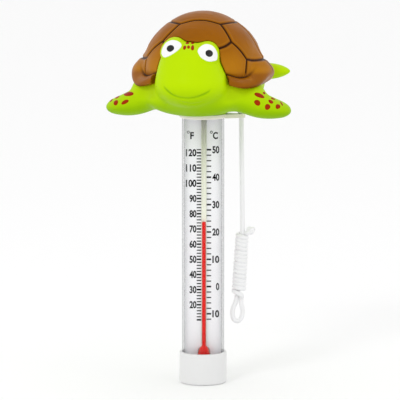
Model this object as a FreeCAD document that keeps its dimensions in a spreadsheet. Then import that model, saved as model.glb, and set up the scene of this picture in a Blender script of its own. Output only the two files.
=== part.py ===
"""Floating pool thermometer with a moulded turtle float, a clear scale tube and a hanked tether.

Millimetres, +Z up. The origin is the middle of the end cap's flat foot, on the tube's axis, and the
scale faces -Y. The float's own pieces are placed in the turtle's frame, in which its head points to
-Y, and that frame is turned about the tube's axis by dims.float_heading.
"""
import FreeCAD, Part
import math
import os

import Sketcher

DIMENSIONS = {
    # Clear tube, its end cap and its collar
    "tube_diameter": 25.0,
    "tube_wall": 1.2,
    "tube_bottom": 3.8,
    "tube_top": 169.4,
    "glue_gap": 0.1,
    "overrun": 1.0,
    "cap_diameter": 28.0,
    "cap_height": 18.65,
    "cap_floor": 2.6,
    "cap_foot_round": 1.4,
    "cap_rim_round": 0.7,
    "seal_section": 1.2,
    "flange_diameter": 28.4,
    "flange_bottom": 158.0,
    "flange_thickness": 2.4,
    "flange_bevel": 1.0,
    "sleeve_diameter": 26.8,
    "sleeve_top": 173.2,
    "sleeve_roof": 2.4,
    # Ear on the collar, which the tether hangs from
    "ear_root_width": 11.0,
    "ear_root_inset": 0.3,
    "ear_reach": 22.5,
    "ear_end_radius": 2.4,
    "ear_thickness": 2.2,
    "ear_hole_diameter": 3.0,
    # What is inside the tube
    "inside_gap": 0.1,
    "ballast_height": 4.2,
    "ballast_chamfer": 0.8,
    "lower_plug_top": 14.0,
    "upper_plug_bottom": 159.0,
    "upper_plug_top": 167.0,
    "card_width": 21.7,
    "card_thickness": 0.6,
    "card_bottom": 10.0,
    "card_top": 165.0,
    "card_notch_width": 7.6,
    "card_notch_top": 18.2,
    # Glass thermometer: bulb, stem, bore and spirit
    "stem_offset": 0.5,
    "stem_diameter": 3.2,
    "stem_top": 164.0,
    "bore_diameter": 2.3,
    "bore_top": 158.0,
    "bulb_diameter": 7.7,
    "bulb_length": 13.9,
    "bulb_middle": 15.6,
    "bulb_wall": 0.45,
    "spirit_gap": 0.05,
    "column_bottom": 23.0,
    "column_top": 96.0,
    # Turtle float: heading about the tube's axis, and sizes in its own frame
    "float_heading": -12.0,
    "shell_seat": 178.5,
    "float_wall": 2.2,
    "belly_half_width": 36.0,
    "belly_half_length": 41.0,
    "dome_half_width": 35.8,
    "dome_half_length": 41.0,
    "dome_middle": 184.0,
    "dome_rise": 36.6,
    "dome_wall": 2.6,
    "lip_half_width": 41.6,
    "lip_half_length": 47.0,
    "lip_half_height": 9.0,
    "lip_middle": 183.0,
    "head_half_width": 20.0,
    "head_half_length": 21.0,
    "head_half_height": 18.7,
    "head_forward": 34.0,
    "head_middle": 186.7,
    "head_roll": 6.0,
    "throat_half_width": 21.0,
    "throat_half_length": 17.0,
    "throat_half_height": 9.0,
    "throat_forward": 26.0,
    "throat_middle": 170.5,
    "brow_radius": 8.6,
    "brow_side": 10.0,
    "brow_forward": 30.5,
    "brow_middle": 198.9,
    "eye_tilt": 21.8,
    "eye_half_width": 5.8,
    "eye_half_height": 5.2,
    "eye_half_depth": 1.7,
    "eye_sunk": 0.9,
    "pupil_radius": 2.05,
    "pupil_half_depth": 0.7,
    "arm_half_length": 17.0,
    "arm_half_width": 11.0,
    "arm_half_height": 8.0,
    "arm_side": 29.0,
    "arm_forward": 17.0,
    "arm_middle": 170.5,
    "arm_droop": 18.0,
    "paddle_half_length": 13.5,
    "paddle_half_width": 11.5,
    "paddle_half_height": 6.2,
    "paddle_side": 41.8,
    "paddle_forward": 14.5,
    "paddle_middle": 166.2,
    "paddle_sweep": 14.0,
    "fin_half_length": 11.5,
    "fin_half_width": 6.5,
    "fin_half_height": 5.6,
    "fin_side": 32.5,
    "fin_back": 43.0,
    "fin_middle": 182.6,
    "hip_radius": 9.5,
    "hip_half_height": 5.6,
    "hip_side": 26.0,
    "hip_back": 34.0,
    "hip_middle": 174.5,
    "tail_half_width": 4.0,
    "tail_half_length": 9.0,
    "tail_half_height": 3.4,
    "tail_back": 43.0,
    "tail_middle": 175.6,
    # Tether: the drop hangs from the ear, and the hank hangs from the drop
    "cord_diameter": 2.7,
    "swing_gap": 0.3,
    "stopper_radius": 2.5,
    "stopper_rise": 0.4,
    "hank_pivot_side": 23.3,
    "hank_pivot_height": 91.6,
    "hank_lean": 3.3,
    "hank_drop": 1.7,
    "wrap_diameter": 8.6,
    "wrap_length": 36.5,
    "hank_eye_half_gap": 3.1,
    "hank_eye_drop": 51.4,
    "end_knot_side": 28.5,
    "end_knot_height": 91.3,
    "end_knot_half_width": 2.8,
    "end_knot_half_depth": 2.4,
    "end_knot_half_height": 2.6,
}

# How close two sizes are when they count as the same, and what counts as zero, in millimetres
SAME_SIZE = 0.01
ZERO_SIZE = 1e-9

doc = FreeCAD.newDocument("pool_thermometer")
nodes = []


def make_sheet():
    """The spreadsheet of driving dimensions, one aliased cell each."""
    sheet = doc.addObject("Spreadsheet::Sheet", "dims")
    for row, (alias, size) in enumerate(DIMENSIONS.items(), start=1):
        sheet.set(f"A{row}", alias)
        sheet.set(f"B{row}", str(size))
        sheet.setAlias(f"B{row}", alias)
    doc.recompute()
    return sheet


dims = make_sheet()
probe = doc.addObject("App::FeaturePython", "probe")


def value(formula):
    """What a formula over the sheet comes to now."""
    return float(probe.evalExpression(formula))


def bind(thing, sizes):
    """Bind properties, by their paths, to formulas over the sheet."""
    for path, formula in sizes.items():
        thing.setExpression(path, formula)
    return thing


def node(thing, label):
    """Name a finished sub-part, which is written to parts/ under its label."""
    thing.Label = label
    nodes.append(thing)
    return thing


def stand(thing, x, y, z):
    """Place a thing by formulas for its position in the row's frame."""
    return bind(thing, {"Placement.Base.x": x, "Placement.Base.y": y, "Placement.Base.z": z})


def cylinder(name, radius, bottom, top, x="0", y="0"):
    """An upright cylinder between two heights."""
    made = doc.addObject("Part::Cylinder", name)
    bind(made, {"Radius": radius, "Height": f"({top}) - ({bottom})"})
    return stand(made, x, y, bottom)


def box(name, width, depth, bottom, top, x="0", y="0"):
    """A box centred on x and y, between two heights."""
    made = doc.addObject("Part::Box", name)
    bind(made, {"Length": width, "Width": depth, "Height": f"({top}) - ({bottom})"})
    return stand(made, f"({x}) - ({width}) / 2", f"({y}) - ({depth}) / 2", bottom)


def ellipsoid(name, half_x, half_y, half_z):
    """A whole ellipsoid about its own middle."""
    made = doc.addObject("Part::Ellipsoid", name)
    made.Angle1 = -90
    made.Angle2 = 90
    return bind(made, {"Radius1": half_z, "Radius2": half_x, "Radius3": half_y})


def ring(name, radius, section, height):
    """A round ring about the tube's axis, such as a seal."""
    made = doc.addObject("Part::Torus", name)
    bind(made, {"Radius1": radius, "Radius2": section})
    return stand(made, "0", "0", height)


def fuse(name, *shapes):
    """One solid from several that overlap."""
    made = doc.addObject("Part::MultiFuse", name)
    made.Shapes = list(shapes)
    return made


def cut(name, base, *tools):
    """A solid less its tools, taken off one after another."""
    for i, tool in enumerate(tools, start=1):
        made = doc.addObject("Part::Cut", name if i == len(tools) else f"{name}_step_{i}")
        made.Base = base
        made.Tool = tool
        base = made
    return base


def keep(name, base, zone):
    """The part of a solid that lies in a zone."""
    made = doc.addObject("Part::MultiCommon", name)
    made.Shapes = [base, zone]
    return made


def outline_sketch(body, plane, outline):
    """A closed sketch of straight sides, each corner held by two formulas."""
    sketch = body.newObject("Sketcher::SketchObject", body.Name + "_outline")
    support = [o for o in body.Origin.OriginFeatures if o.Role == plane][0]
    sketch.AttachmentSupport = [(support, "")]
    sketch.MapMode = "FlatFace"
    corners = [FreeCAD.Vector(value(u), value(v), 0) for u, v in outline]
    count = len(corners)
    for i in range(count):
        sketch.addGeometry(Part.LineSegment(corners[i], corners[(i + 1) % count]))
    for i in range(count):
        sketch.addConstraint(Sketcher.Constraint("Coincident", i, 2, (i + 1) % count, 1))
    for i, formulas in enumerate(outline):
        for kind, axis, formula in zip(("DistanceX", "DistanceY"), (-2, -1), formulas):
            size = value(formula)
            if abs(size) < ZERO_SIZE:
                sketch.addConstraint(Sketcher.Constraint("PointOnObject", i, 1, axis))
                continue
            held = sketch.addConstraint(Sketcher.Constraint(kind, -1, 1, i, 1, size))
            sketch.renameConstraint(held, f"{kind}_{i}")
            sketch.setExpression(f"Constraints.{kind}_{i}", formula)
    return sketch


def turned(name, outline):
    """A body turned about the tube's axis from an outline of radius and height formulas."""
    body = doc.addObject("PartDesign::Body", name)
    sketch = outline_sketch(body, "XZ_Plane", outline)
    turn = body.newObject("PartDesign::Revolution", name + "_turn")
    turn.Profile = sketch
    turn.ReferenceAxis = (sketch, ["V_Axis"])
    turn.Angle = 360
    doc.recompute()
    return body


def plate(name, outline, bottom, thickness):
    """A flat body of an outline in plan, standing on a height."""
    body = doc.addObject("PartDesign::Body", name)
    sketch = outline_sketch(body, "XY_Plane", outline)
    bind(sketch, {"AttachmentOffset.Base.z": bottom})
    pad = body.newObject("PartDesign::Pad", name + "_pad")
    pad.Profile = sketch
    bind(pad, {"Length": thickness})
    doc.recompute()
    return body


def round_edges(body, radius, chosen):
    """Fillet the circular edges of a body that chosen(radius, height) picks."""
    last = body.Tip
    names = []
    for i, edge in enumerate(last.Shape.Edges, start=1):
        if hasattr(edge.Curve, "Radius") and chosen(edge.Curve.Radius, edge.Curve.Center.z):
            names.append(f"Edge{i}")
    fillet = body.newObject("PartDesign::Fillet", f"{body.Name}_round_{len(body.Group)}")
    fillet.Base = (last, names)
    bind(fillet, {"Radius": radius})
    doc.recompute()
    return body


# End cap, its seal and the ballast

TUBE_RADIUS = "dims.tube_diameter / 2"
TUBE_INSIDE = "(dims.tube_diameter / 2 - dims.tube_wall)"
SOCKET_RADIUS = "(dims.tube_diameter / 2 + dims.glue_gap)"
FILLING_RADIUS = "(dims.tube_diameter / 2 - dims.tube_wall - dims.inside_gap)"
SEAL_RADIUS = "(dims.tube_diameter - dims.tube_wall) / 2"


def make_end_cap():
    """The glued cap that closes the tube's foot: a cup with a round foot edge and a soft rim."""
    outside = "dims.cap_diameter / 2"
    body = turned("end_cap", [
        ("0", "0"),
        (outside, "0"),
        (outside, "dims.cap_height"),
        (SOCKET_RADIUS, "dims.cap_height"),
        (SOCKET_RADIUS, "dims.cap_floor"),
        ("0", "dims.cap_floor"),
    ])
    radius = value(outside)
    top = value("dims.cap_height")

    def on_outside(edge_radius, edge_height, height):
        return abs(edge_radius - radius) < SAME_SIZE and abs(edge_height - height) < SAME_SIZE

    round_edges(body, "dims.cap_foot_round", lambda r, z: on_outside(r, z, 0))
    round_edges(body, "dims.cap_rim_round", lambda r, z: on_outside(r, z, top))
    node(body, "bottom_cap")
    seal_height = "dims.cap_floor + dims.seal_section / 2"
    node(ring("foot_ring", SEAL_RADIUS, "dims.seal_section / 2", seal_height), "cap_seal")


def make_ballast():
    """A turned steel slug on the cap's floor, which keeps the thermometer upright in water."""
    top = "dims.cap_floor + dims.ballast_height"
    body = turned("ballast", [
        ("0", "dims.cap_floor"),
        (f"{FILLING_RADIUS} - dims.ballast_chamfer", "dims.cap_floor"),
        (FILLING_RADIUS, "dims.cap_floor + dims.ballast_chamfer"),
        (FILLING_RADIUS, f"{top} - dims.ballast_chamfer"),
        (f"{FILLING_RADIUS} - dims.ballast_chamfer", top),
        ("0", top),
    ])
    node(body, "ballast_slug")


# Tube, card, glass thermometer and the plugs that hold them

STEM_FRONT = "-(dims.card_thickness / 2 + dims.stem_diameter / 2 + dims.inside_gap)"


def make_tube():
    """The clear outer tube, open at both ends."""
    outside = cylinder("tube_outside", TUBE_RADIUS, "dims.tube_bottom", "dims.tube_top")
    inside = cylinder("tube_inside", TUBE_INSIDE, "dims.tube_bottom - dims.overrun",
                      "dims.tube_top + dims.overrun")
    node(cut("clear_tube", outside, inside), "outer_tube")


def bulb(name, wall):
    """The bulb's ellipsoid, set in by a wall thickness."""
    half = f"dims.bulb_diameter / 2 - {wall}"
    made = ellipsoid(name, half, half, f"dims.bulb_length / 2 - {wall}")
    return stand(made, "dims.stem_offset", STEM_FRONT, "dims.bulb_middle")


def make_glass_thermometer():
    """Glass with a bulb and a fine bore, the spirit in the bulb and the column in the bore."""
    stem = cylinder("stem_outside", "dims.stem_diameter / 2", "dims.bulb_middle", "dims.stem_top",
                    "dims.stem_offset", STEM_FRONT)
    bore = cylinder("stem_bore", "dims.bore_diameter / 2", "dims.bulb_middle", "dims.bore_top",
                    "dims.stem_offset", STEM_FRONT)
    glass = cut("glass", fuse("glass_outside", bulb("bulb_outside", "0"), stem),
                bulb("bulb_inside", "dims.bulb_wall"), bore)
    node(glass, "glass_stem")
    filled = bulb("bulb_filling", "dims.bulb_wall - dims.spirit_gap")
    throat = cylinder("spirit_throat", "dims.bore_diameter / 2 - dims.spirit_gap",
                      "dims.bulb_middle", "dims.column_bottom", "dims.stem_offset", STEM_FRONT)
    node(fuse("bulb_charge", filled, throat), "bulb_spirit")
    column = cylinder("column", "dims.bore_diameter / 2 - dims.spirit_gap", "dims.column_bottom",
                      "dims.column_top", "dims.stem_offset", STEM_FRONT)
    node(column, "spirit_column")


def make_scale_card():
    """The printed scale's flat card, notched over the bulb."""
    card = box("card_blank", "dims.card_width", "dims.card_thickness", "dims.card_bottom",
               "dims.card_top")
    width = "dims.card_notch_width"
    through = "(dims.card_thickness + 2 * dims.overrun)"
    slot = box("card_notch", width, through, "dims.card_bottom - dims.overrun",
               "dims.card_notch_top", "dims.stem_offset")
    crown = doc.addObject("Part::Cylinder", "card_notch_crown")
    crown.Placement.Rotation = FreeCAD.Rotation(FreeCAD.Vector(1, 0, 0), 90)
    bind(crown, {"Radius": f"{width} / 2", "Height": through})
    stand(crown, "dims.stem_offset", f"{through} / 2", "dims.card_notch_top")
    node(cut("card", card, slot, crown), "scale_card")


def card_slot(name, bottom, top):
    """Room for the card in a plug."""
    return box(name, "dims.card_width + dims.inside_gap", "dims.card_thickness + dims.inside_gap",
               bottom, top)


def make_plugs():
    """Rubber plugs inside the tube: the lower one seats the bulb, the upper one the stem's top."""
    foot = "dims.cap_floor + dims.ballast_height"
    lower = cylinder("lower_plug_blank", FILLING_RADIUS, foot, "dims.lower_plug_top")
    seat = cylinder("bulb_seat", "dims.bulb_diameter / 2 + dims.inside_gap",
                    f"{foot} - dims.overrun", "dims.lower_plug_top + dims.overrun",
                    "dims.stem_offset", STEM_FRONT)
    slot = card_slot("lower_card_slot", "dims.card_bottom", "dims.lower_plug_top + dims.overrun")
    node(cut("lower_plug", lower, seat, slot), "bottom_plug")
    upper = cylinder("upper_plug_blank", FILLING_RADIUS, "dims.upper_plug_bottom",
                     "dims.upper_plug_top")
    hole = cylinder("stem_seat", "dims.stem_diameter / 2 + dims.inside_gap",
                    "dims.upper_plug_bottom - dims.overrun", "dims.stem_top",
                    "dims.stem_offset", STEM_FRONT)
    slot = card_slot("upper_card_slot", "dims.upper_plug_bottom - dims.overrun", "dims.card_top")
    node(cut("upper_plug", upper, hole, slot), "top_plug")


# Collar with its sleeve, seal and tether ear


def make_collar():
    """The flanged sleeve glued over the tube's top and into the float, with the tether's ear."""
    flange = "dims.flange_diameter / 2"
    sleeve = "dims.sleeve_diameter / 2"
    bottom = "dims.flange_bottom"
    flange_top = "dims.flange_bottom + dims.flange_thickness"
    roof = "dims.sleeve_top - dims.sleeve_roof"
    body = turned("flanged_sleeve", [
        (SOCKET_RADIUS, bottom),
        (f"{flange} - dims.flange_bevel", bottom),
        (flange, f"{bottom} + dims.flange_bevel"),
        (flange, flange_top),
        (sleeve, flange_top),
        (sleeve, "dims.sleeve_top"),
        ("0", "dims.sleeve_top"),
        ("0", roof),
        (SOCKET_RADIUS, roof),
    ])
    start = f"{SOCKET_RADIUS} + dims.ear_root_inset"
    lug = plate("ear_plate", [
        (start, "-dims.ear_root_width / 2"),
        ("dims.ear_reach", "-dims.ear_end_radius"),
        ("dims.ear_reach", "dims.ear_end_radius"),
        (start, "dims.ear_root_width / 2"),
    ], bottom, "dims.ear_thickness")
    end = cylinder("ear_end", "dims.ear_end_radius", bottom, f"{bottom} + dims.ear_thickness",
                   "dims.ear_reach")
    hole = cylinder("ear_hole", "dims.ear_hole_diameter / 2", f"{bottom} - dims.overrun",
                    f"{bottom} + dims.ear_thickness + dims.overrun", "dims.ear_reach")
    node(cut("eared_sleeve", fuse("sleeve_and_ear", body, lug, end), hole), "collar")
    seal_height = f"{roof} - dims.seal_section / 2"
    node(ring("head_ring", SEAL_RADIUS, "dims.seal_section / 2", seal_height), "collar_seal")


# Turtle float: its right side lies towards -X in its own frame

SIDES = ((-1, "right"), (1, "left"))


def on_float(thing, x, y, z, turn=None):
    """Place a thing in the turtle's frame, which stands turned about the tube's axis."""
    heading = FreeCAD.Rotation(FreeCAD.Vector(0, 0, 1), value("dims.float_heading"))
    thing.Placement.Rotation = heading.multiply(turn) if turn else heading
    cosine = "cos(dims.float_heading)"
    sine = "sin(dims.float_heading)"
    return stand(thing, f"({x}) * {cosine} - ({y}) * {sine}",
                 f"({x}) * {sine} + ({y}) * {cosine}", z)


def about(axis, degrees):
    """A rotation about one of the turtle's axes."""
    return FreeCAD.Rotation(FreeCAD.Vector(*axis), degrees)


def rolled(side, height):
    """A place on the head, by formulas, after the head is rolled about its nose's direction."""
    rise = f"(({height}) - dims.head_middle)"
    x = f"({side}) * cos(dims.head_roll) + {rise} * sin(dims.head_roll)"
    z = f"dims.head_middle - ({side}) * sin(dims.head_roll) + {rise} * cos(dims.head_roll)"
    return x, z


def eye_place(side, proud):
    """Where an eye's middle lies on its brow, by formulas, and how it is turned."""
    reach = f"(dims.brow_radius - dims.eye_sunk + {proud})"
    x, z = rolled(f"{side} * dims.brow_side", f"dims.brow_middle + {reach} * sin(dims.eye_tilt)")
    y = f"-dims.brow_forward - {reach} * cos(dims.eye_tilt)"
    roll = about((0, 1, 0), value("dims.head_roll"))
    return x, y, z, roll.multiply(about((1, 0, 0), -value("dims.eye_tilt")))


def make_eye(side, word):
    """A white eye let into the head, with a black pupil let into it. Returns both blanks."""
    blank = ellipsoid(f"{word}_eye_blank", "dims.eye_half_width", "dims.eye_half_depth",
                      "dims.eye_half_height")
    on_float(blank, *eye_place(side, "0"))
    pupil = ellipsoid(f"{word}_pupil", "dims.pupil_radius", "dims.pupil_half_depth",
                      "dims.pupil_radius")
    on_float(pupil, *eye_place(side, "dims.eye_half_depth"))
    node(cut(f"{word}_eye", blank, pupil), f"eye_{word}")
    node(pupil, f"pupil_{word}")
    return blank, pupil


def limbs(side, word):
    """One front flipper of an arm and a paddle, one rear fin and the hip that carries it."""
    outward = about((0, 0, 1), 0 if side > 0 else 180)
    arm = ellipsoid(f"{word}_arm", "dims.arm_half_length", "dims.arm_half_width",
                    "dims.arm_half_height")
    on_float(arm, f"{side} * dims.arm_side", "-dims.arm_forward", "dims.arm_middle",
             outward.multiply(about((0, 1, 0), value("dims.arm_droop"))))
    paddle = ellipsoid(f"{word}_paddle", "dims.paddle_half_length", "dims.paddle_half_width",
                       "dims.paddle_half_height")
    on_float(paddle, f"{side} * dims.paddle_side", "-dims.paddle_forward", "dims.paddle_middle",
             outward.multiply(about((0, 0, 1), side * value("dims.paddle_sweep"))))
    fin = ellipsoid(f"{word}_fin", "dims.fin_half_length", "dims.fin_half_width",
                    "dims.fin_half_height")
    on_float(fin, f"{side} * dims.fin_side", "dims.fin_back", "dims.fin_middle", outward)
    hip = ellipsoid(f"{word}_hip", "dims.hip_radius", "dims.hip_radius", "dims.hip_half_height")
    on_float(hip, f"{side} * dims.hip_side", "dims.hip_back", "dims.hip_middle", outward)
    return arm, paddle, fin, hip


def head(name, spare):
    """The head's ellipsoid, grown by a spare thickness or shrunk by a negative one."""
    made = ellipsoid(name, f"dims.head_half_width + {spare}", f"dims.head_half_length + {spare}",
                     f"dims.head_half_height + {spare}")
    return on_float(made, "0", "-dims.head_forward", "dims.head_middle",
                    about((0, 1, 0), value("dims.head_roll")))


def belly(name, wall, top):
    """The belly's bowl, set in by a wall, up to a height."""
    depth = "(dims.shell_seat - dims.flange_bottom - dims.flange_thickness)"
    bowl = ellipsoid(name + "_bowl", f"dims.belly_half_width - {wall}",
                     f"dims.belly_half_length - {wall}", f"{depth} - {wall}")
    on_float(bowl, "0", "0", "dims.shell_seat")
    zone = cylinder(name + "_zone", "dims.lip_half_length", "dims.flange_bottom", top)
    return keep(name, bowl, zone)


def make_carapace():
    """The domed shell with its flared lip, hollow, and open at the front round the head."""
    dome = ellipsoid("dome", "dims.dome_half_width", "dims.dome_half_length", "dims.dome_rise")
    on_float(dome, "0", "0", "dims.dome_middle")
    lip = ellipsoid("lip", "dims.lip_half_width", "dims.lip_half_length", "dims.lip_half_height")
    on_float(lip, "0", "0", "dims.lip_middle")
    above = cylinder("shell_zone", "dims.lip_half_length + dims.overrun", "dims.shell_seat",
                     "dims.dome_middle + dims.dome_rise + dims.overrun")
    cavity = ellipsoid("dome_cavity", "dims.dome_half_width - dims.dome_wall",
                       "dims.dome_half_length - dims.dome_wall", "dims.dome_rise - dims.dome_wall")
    on_float(cavity, "0", "0", "dims.dome_middle")
    outside = keep("shell_outside", fuse("dome_and_lip", dome, lip), above)
    brows = [brow(side, word, "dims.glue_gap") for side, word in SIDES]
    node(cut("shell", outside, cavity, head("head_room", "dims.glue_gap"), *brows), "carapace")
    return outside



def brow(side, word, spare):
    """The bulge that carries one eye."""
    name = f"{word}_brow" if spare == "0" else f"{word}_brow_room"
    radius = f"dims.brow_radius + {spare}"
    made = ellipsoid(name, radius, radius, radius)
    x, z = rolled(f"{side} * dims.brow_side", "dims.brow_middle")
    return on_float(made, x, "-dims.brow_forward", z)


def make_turtle():
    """The green body: belly, head, throat, flippers, fins and tail, hollow in belly and head."""
    shell_outside = make_carapace()
    eyes = [blank for side, word in SIDES for blank in make_eye(side, word)]
    throat = ellipsoid("throat", "dims.throat_half_width", "dims.throat_half_length",
                       "dims.throat_half_height")
    on_float(throat, "0", "-dims.throat_forward", "dims.throat_middle")
    tail = ellipsoid("tail", "dims.tail_half_width", "dims.tail_half_length",
                     "dims.tail_half_height")
    on_float(tail, "0", "dims.tail_back", "dims.tail_middle")
    boss = cylinder("collar_boss", "dims.flange_diameter / 2",
                    "dims.flange_bottom + dims.flange_thickness", "dims.throat_middle")
    outer_limbs = [tail]
    for side, word in SIDES:
        outer_limbs.extend(limbs(side, word))
    flippers = cut("limbs_outside_shell", fuse("limbs", *outer_limbs, throat), shell_outside)
    brows = [brow(side, word, "0") for side, word in SIDES]
    skin = fuse("turtle_outside", belly("belly_outside", "0", "dims.shell_seat"), boss, flippers,
                head("head_outside", "0"), *brows)
    hollow = fuse("turtle_hollow",
                  belly("belly_inside", "dims.float_wall", "dims.shell_seat - dims.float_wall"),
                  head("head_inside", "-dims.float_wall"))
    neck = cylinder("collar_room", "dims.sleeve_diameter / 2", "dims.flange_bottom",
                    "dims.sleeve_top")
    node(cut("turtle", skin, hollow, neck, *eyes), "turtle_body")


# Tether


def sphere(name, radius):
    """A ball of a cord's end or knot."""
    return bind(doc.addObject("Part::Sphere", name), {"Radius": radius})


CORD_RADIUS = "dims.cord_diameter / 2"
EAR_PIVOT_HEIGHT = "(dims.flange_bottom - dims.swing_gap - dims.cord_diameter / 2)"


def make_stopper():
    """The knot on top of the ear and the strand through the ear's hole."""
    top = "dims.flange_bottom + dims.ear_thickness"
    knot = sphere("stopper", "dims.stopper_radius")
    knot.Angle1 = -math.degrees(math.asin(value("dims.stopper_rise / dims.stopper_radius")))
    stand(knot, "dims.ear_reach", "0", f"{top} + dims.stopper_rise")
    strand = cylinder("stopper_strand", CORD_RADIUS, "dims.flange_bottom",
                      f"{top} + dims.stopper_rise", "dims.ear_reach")
    node(fuse("stopper_and_strand", knot, strand), "tether_knot")


def make_drop():
    """The straight drop of cord from the ear to the hank, with a round end at each pivot."""
    upper = FreeCAD.Vector(value("dims.ear_reach"), 0, value(EAR_PIVOT_HEIGHT))
    lower = FreeCAD.Vector(value("dims.hank_pivot_side"), 0, value("dims.hank_pivot_height"))
    run = lower - upper
    strand = doc.addObject("Part::Cylinder", "drop_strand")
    bind(strand, {"Radius": CORD_RADIUS})
    strand.Height = run.Length
    strand.Placement = FreeCAD.Placement(upper, FreeCAD.Rotation(FreeCAD.Vector(0, 0, 1), run))
    head_end = stand(sphere("drop_top", CORD_RADIUS), "dims.ear_reach", "0", EAR_PIVOT_HEIGHT)
    foot_end = stand(sphere("drop_foot", CORD_RADIUS), "dims.hank_pivot_side", "0",
                     "dims.hank_pivot_height")
    node(fuse("drop", strand, head_end, foot_end), "tether_cord")
    print(f"tether_cord: one straight run of {run.Length:.1f} mm, with no arcs")


def on_hank(thing, along, side="0", turn=None):
    """Place a thing by its drop below the hank's pivot and its side of the hank's leaning axis."""
    lean = FreeCAD.Rotation(FreeCAD.Vector(0, 1, 0), value("dims.hank_lean"))
    thing.Placement.Rotation = lean.multiply(turn) if turn else lean
    cosine = "cos(dims.hank_lean)"
    sine = "sin(dims.hank_lean)"
    return stand(thing, f"dims.hank_pivot_side + ({side}) * {cosine} - ({along}) * {sine}", "0",
                 f"dims.hank_pivot_height - ({side}) * {sine} - ({along}) * {cosine}")


def make_hank():
    """The outer shape of the wrapped hank and of the eye under it, and the tail's end knot."""
    foot = "dims.hank_drop + dims.wrap_length"
    wraps = doc.addObject("Part::Cylinder", "hank_wraps")
    bind(wraps, {"Radius": "dims.wrap_diameter / 2", "Height": "dims.wrap_length"})
    on_hank(wraps, foot)
    legs = []
    for side in (-1, 1):
        leg = doc.addObject("Part::Cylinder", "hank_leg")
        bind(leg, {"Radius": CORD_RADIUS,
                   "Height": f"dims.hank_eye_drop - ({foot}) + dims.overrun"})
        legs.append(on_hank(leg, "dims.hank_eye_drop", f"{side} * dims.hank_eye_half_gap"))
    bend = doc.addObject("Part::Torus", "hank_bend")
    bend.Angle3 = 180
    bind(bend, {"Radius1": "dims.hank_eye_half_gap", "Radius2": CORD_RADIUS})
    on_hank(bend, "dims.hank_eye_drop", turn=about((1, 0, 0), -90))
    node(fuse("hank", wraps, *legs, bend), "tether_hank")
    knob = ellipsoid("knob", "dims.end_knot_half_width", "dims.end_knot_half_depth",
                     "dims.end_knot_half_height")
    stand(knob, "dims.end_knot_side", "0", "dims.end_knot_height")
    node(cut("tail_knot", knob, wraps), "tether_end_knot")


def write_nodes():
    """Check every object, then write each sub-part to its own file."""
    doc.recompute()
    for thing in doc.Objects:
        if {"Invalid", "Error"} & set(thing.State):
            raise RuntimeError(f"{thing.Name} failed: {thing.State}")
    for thing in nodes:
        if thing.Shape.isNull() or not thing.Shape.isValid():
            raise RuntimeError(f"{thing.Label} has no valid shape")
        if len(thing.Shape.Solids) != 1:
            raise RuntimeError(f"{thing.Label} has {len(thing.Shape.Solids)} solids")
    os.makedirs("parts", exist_ok=True)
    for thing in nodes:
        thing.Shape.exportStep(f"parts/{thing.Label}.step")
        print(f"{thing.Label}: {thing.Shape.Volume / 1000:.2f} cm3")


make_end_cap()
make_ballast()
make_tube()
make_glass_thermometer()
make_scale_card()
make_plugs()
make_collar()
make_turtle()
make_stopper()
make_drop()
make_hank()
write_nodes()
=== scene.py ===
"""Floating pool thermometer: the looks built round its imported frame.

A moulded turtle rides on a clear scale tube, and a white braided tether hangs from the collar's
ear. Sizes in the settings are in metres. Shapes worked out in code are in millimetres and are
scaled as they become meshes. The turtle's own frame has its head towards -Y and its right side
towards -X, and is turned about the tube's axis by FLOAT_HEADING.
"""
import math

import bmesh
import bpy
import numpy as np
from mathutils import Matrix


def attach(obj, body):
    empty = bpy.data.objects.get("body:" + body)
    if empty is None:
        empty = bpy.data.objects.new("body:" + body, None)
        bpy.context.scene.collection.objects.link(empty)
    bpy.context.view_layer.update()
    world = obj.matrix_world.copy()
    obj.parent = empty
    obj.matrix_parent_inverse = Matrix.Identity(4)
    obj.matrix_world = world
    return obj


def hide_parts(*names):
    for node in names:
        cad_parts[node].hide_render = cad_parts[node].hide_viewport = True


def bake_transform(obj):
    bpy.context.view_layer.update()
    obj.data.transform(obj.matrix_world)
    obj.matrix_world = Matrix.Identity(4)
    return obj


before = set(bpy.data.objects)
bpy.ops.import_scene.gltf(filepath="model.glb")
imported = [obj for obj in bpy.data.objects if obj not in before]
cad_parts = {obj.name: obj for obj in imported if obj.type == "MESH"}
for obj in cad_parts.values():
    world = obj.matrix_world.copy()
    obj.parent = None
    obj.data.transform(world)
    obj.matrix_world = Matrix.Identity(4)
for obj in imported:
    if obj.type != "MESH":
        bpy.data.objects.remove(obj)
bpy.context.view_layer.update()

import openvdb
from mathutils import Matrix, Vector
from mathutils.bvhtree import BVHTree

bl_info = {
    "name": "Pool thermometer looks",
    "version": (1, 0, 0),
    "blender": (4, 5, 0),
    "location": "3D View > Sidebar > Thermometer",
    "description": "Builds the visual pieces of a floating pool thermometer round its packed frame",
    "category": "Object",
}

MM = 0.001
FLOAT_HEADING = -12.0

# Camera: its eye, its pitch below the horizon and its lens
CAMERA_PLACE = (0.0, -1.9808, 0.3856)
CAMERA_PITCH = 7.95
CAMERA_LENS = 305.2
CAMERA_SHIFT = -0.00775
# Outlines on the turtle's face and flippers are given where they cross this upright plane, as the
# camera sees them, in millimetres of world X and Z. A ray through one starts a lead before the
# plane and goes no further than the reach.
SIGHT_PLANE = -60.0
SIGHT_LEAD = 25.0
SIGHT_REACH = 62.0


# Settings


def linear(red, green, blue):
    """A colour for a shader, from its values on a screen from 0 to 255."""
    made = []
    for part in (red, green, blue):
        part /= 255
        made.append(part / 12.92 if part <= 0.04045 else ((part + 0.055) / 1.055) ** 2.4)
    return (*made, 1.0)


def colour(name, description, red, green, blue):
    """A colour setting."""
    return bpy.props.FloatVectorProperty(name=name, description=description, subtype="COLOR",
                                         size=4, min=0, max=1, default=linear(red, green, blue))


def length(name, description, default):
    """A length setting, in metres."""
    return bpy.props.FloatProperty(name=name, description=description, default=default,
                                   unit="LENGTH", precision=5)


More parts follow.
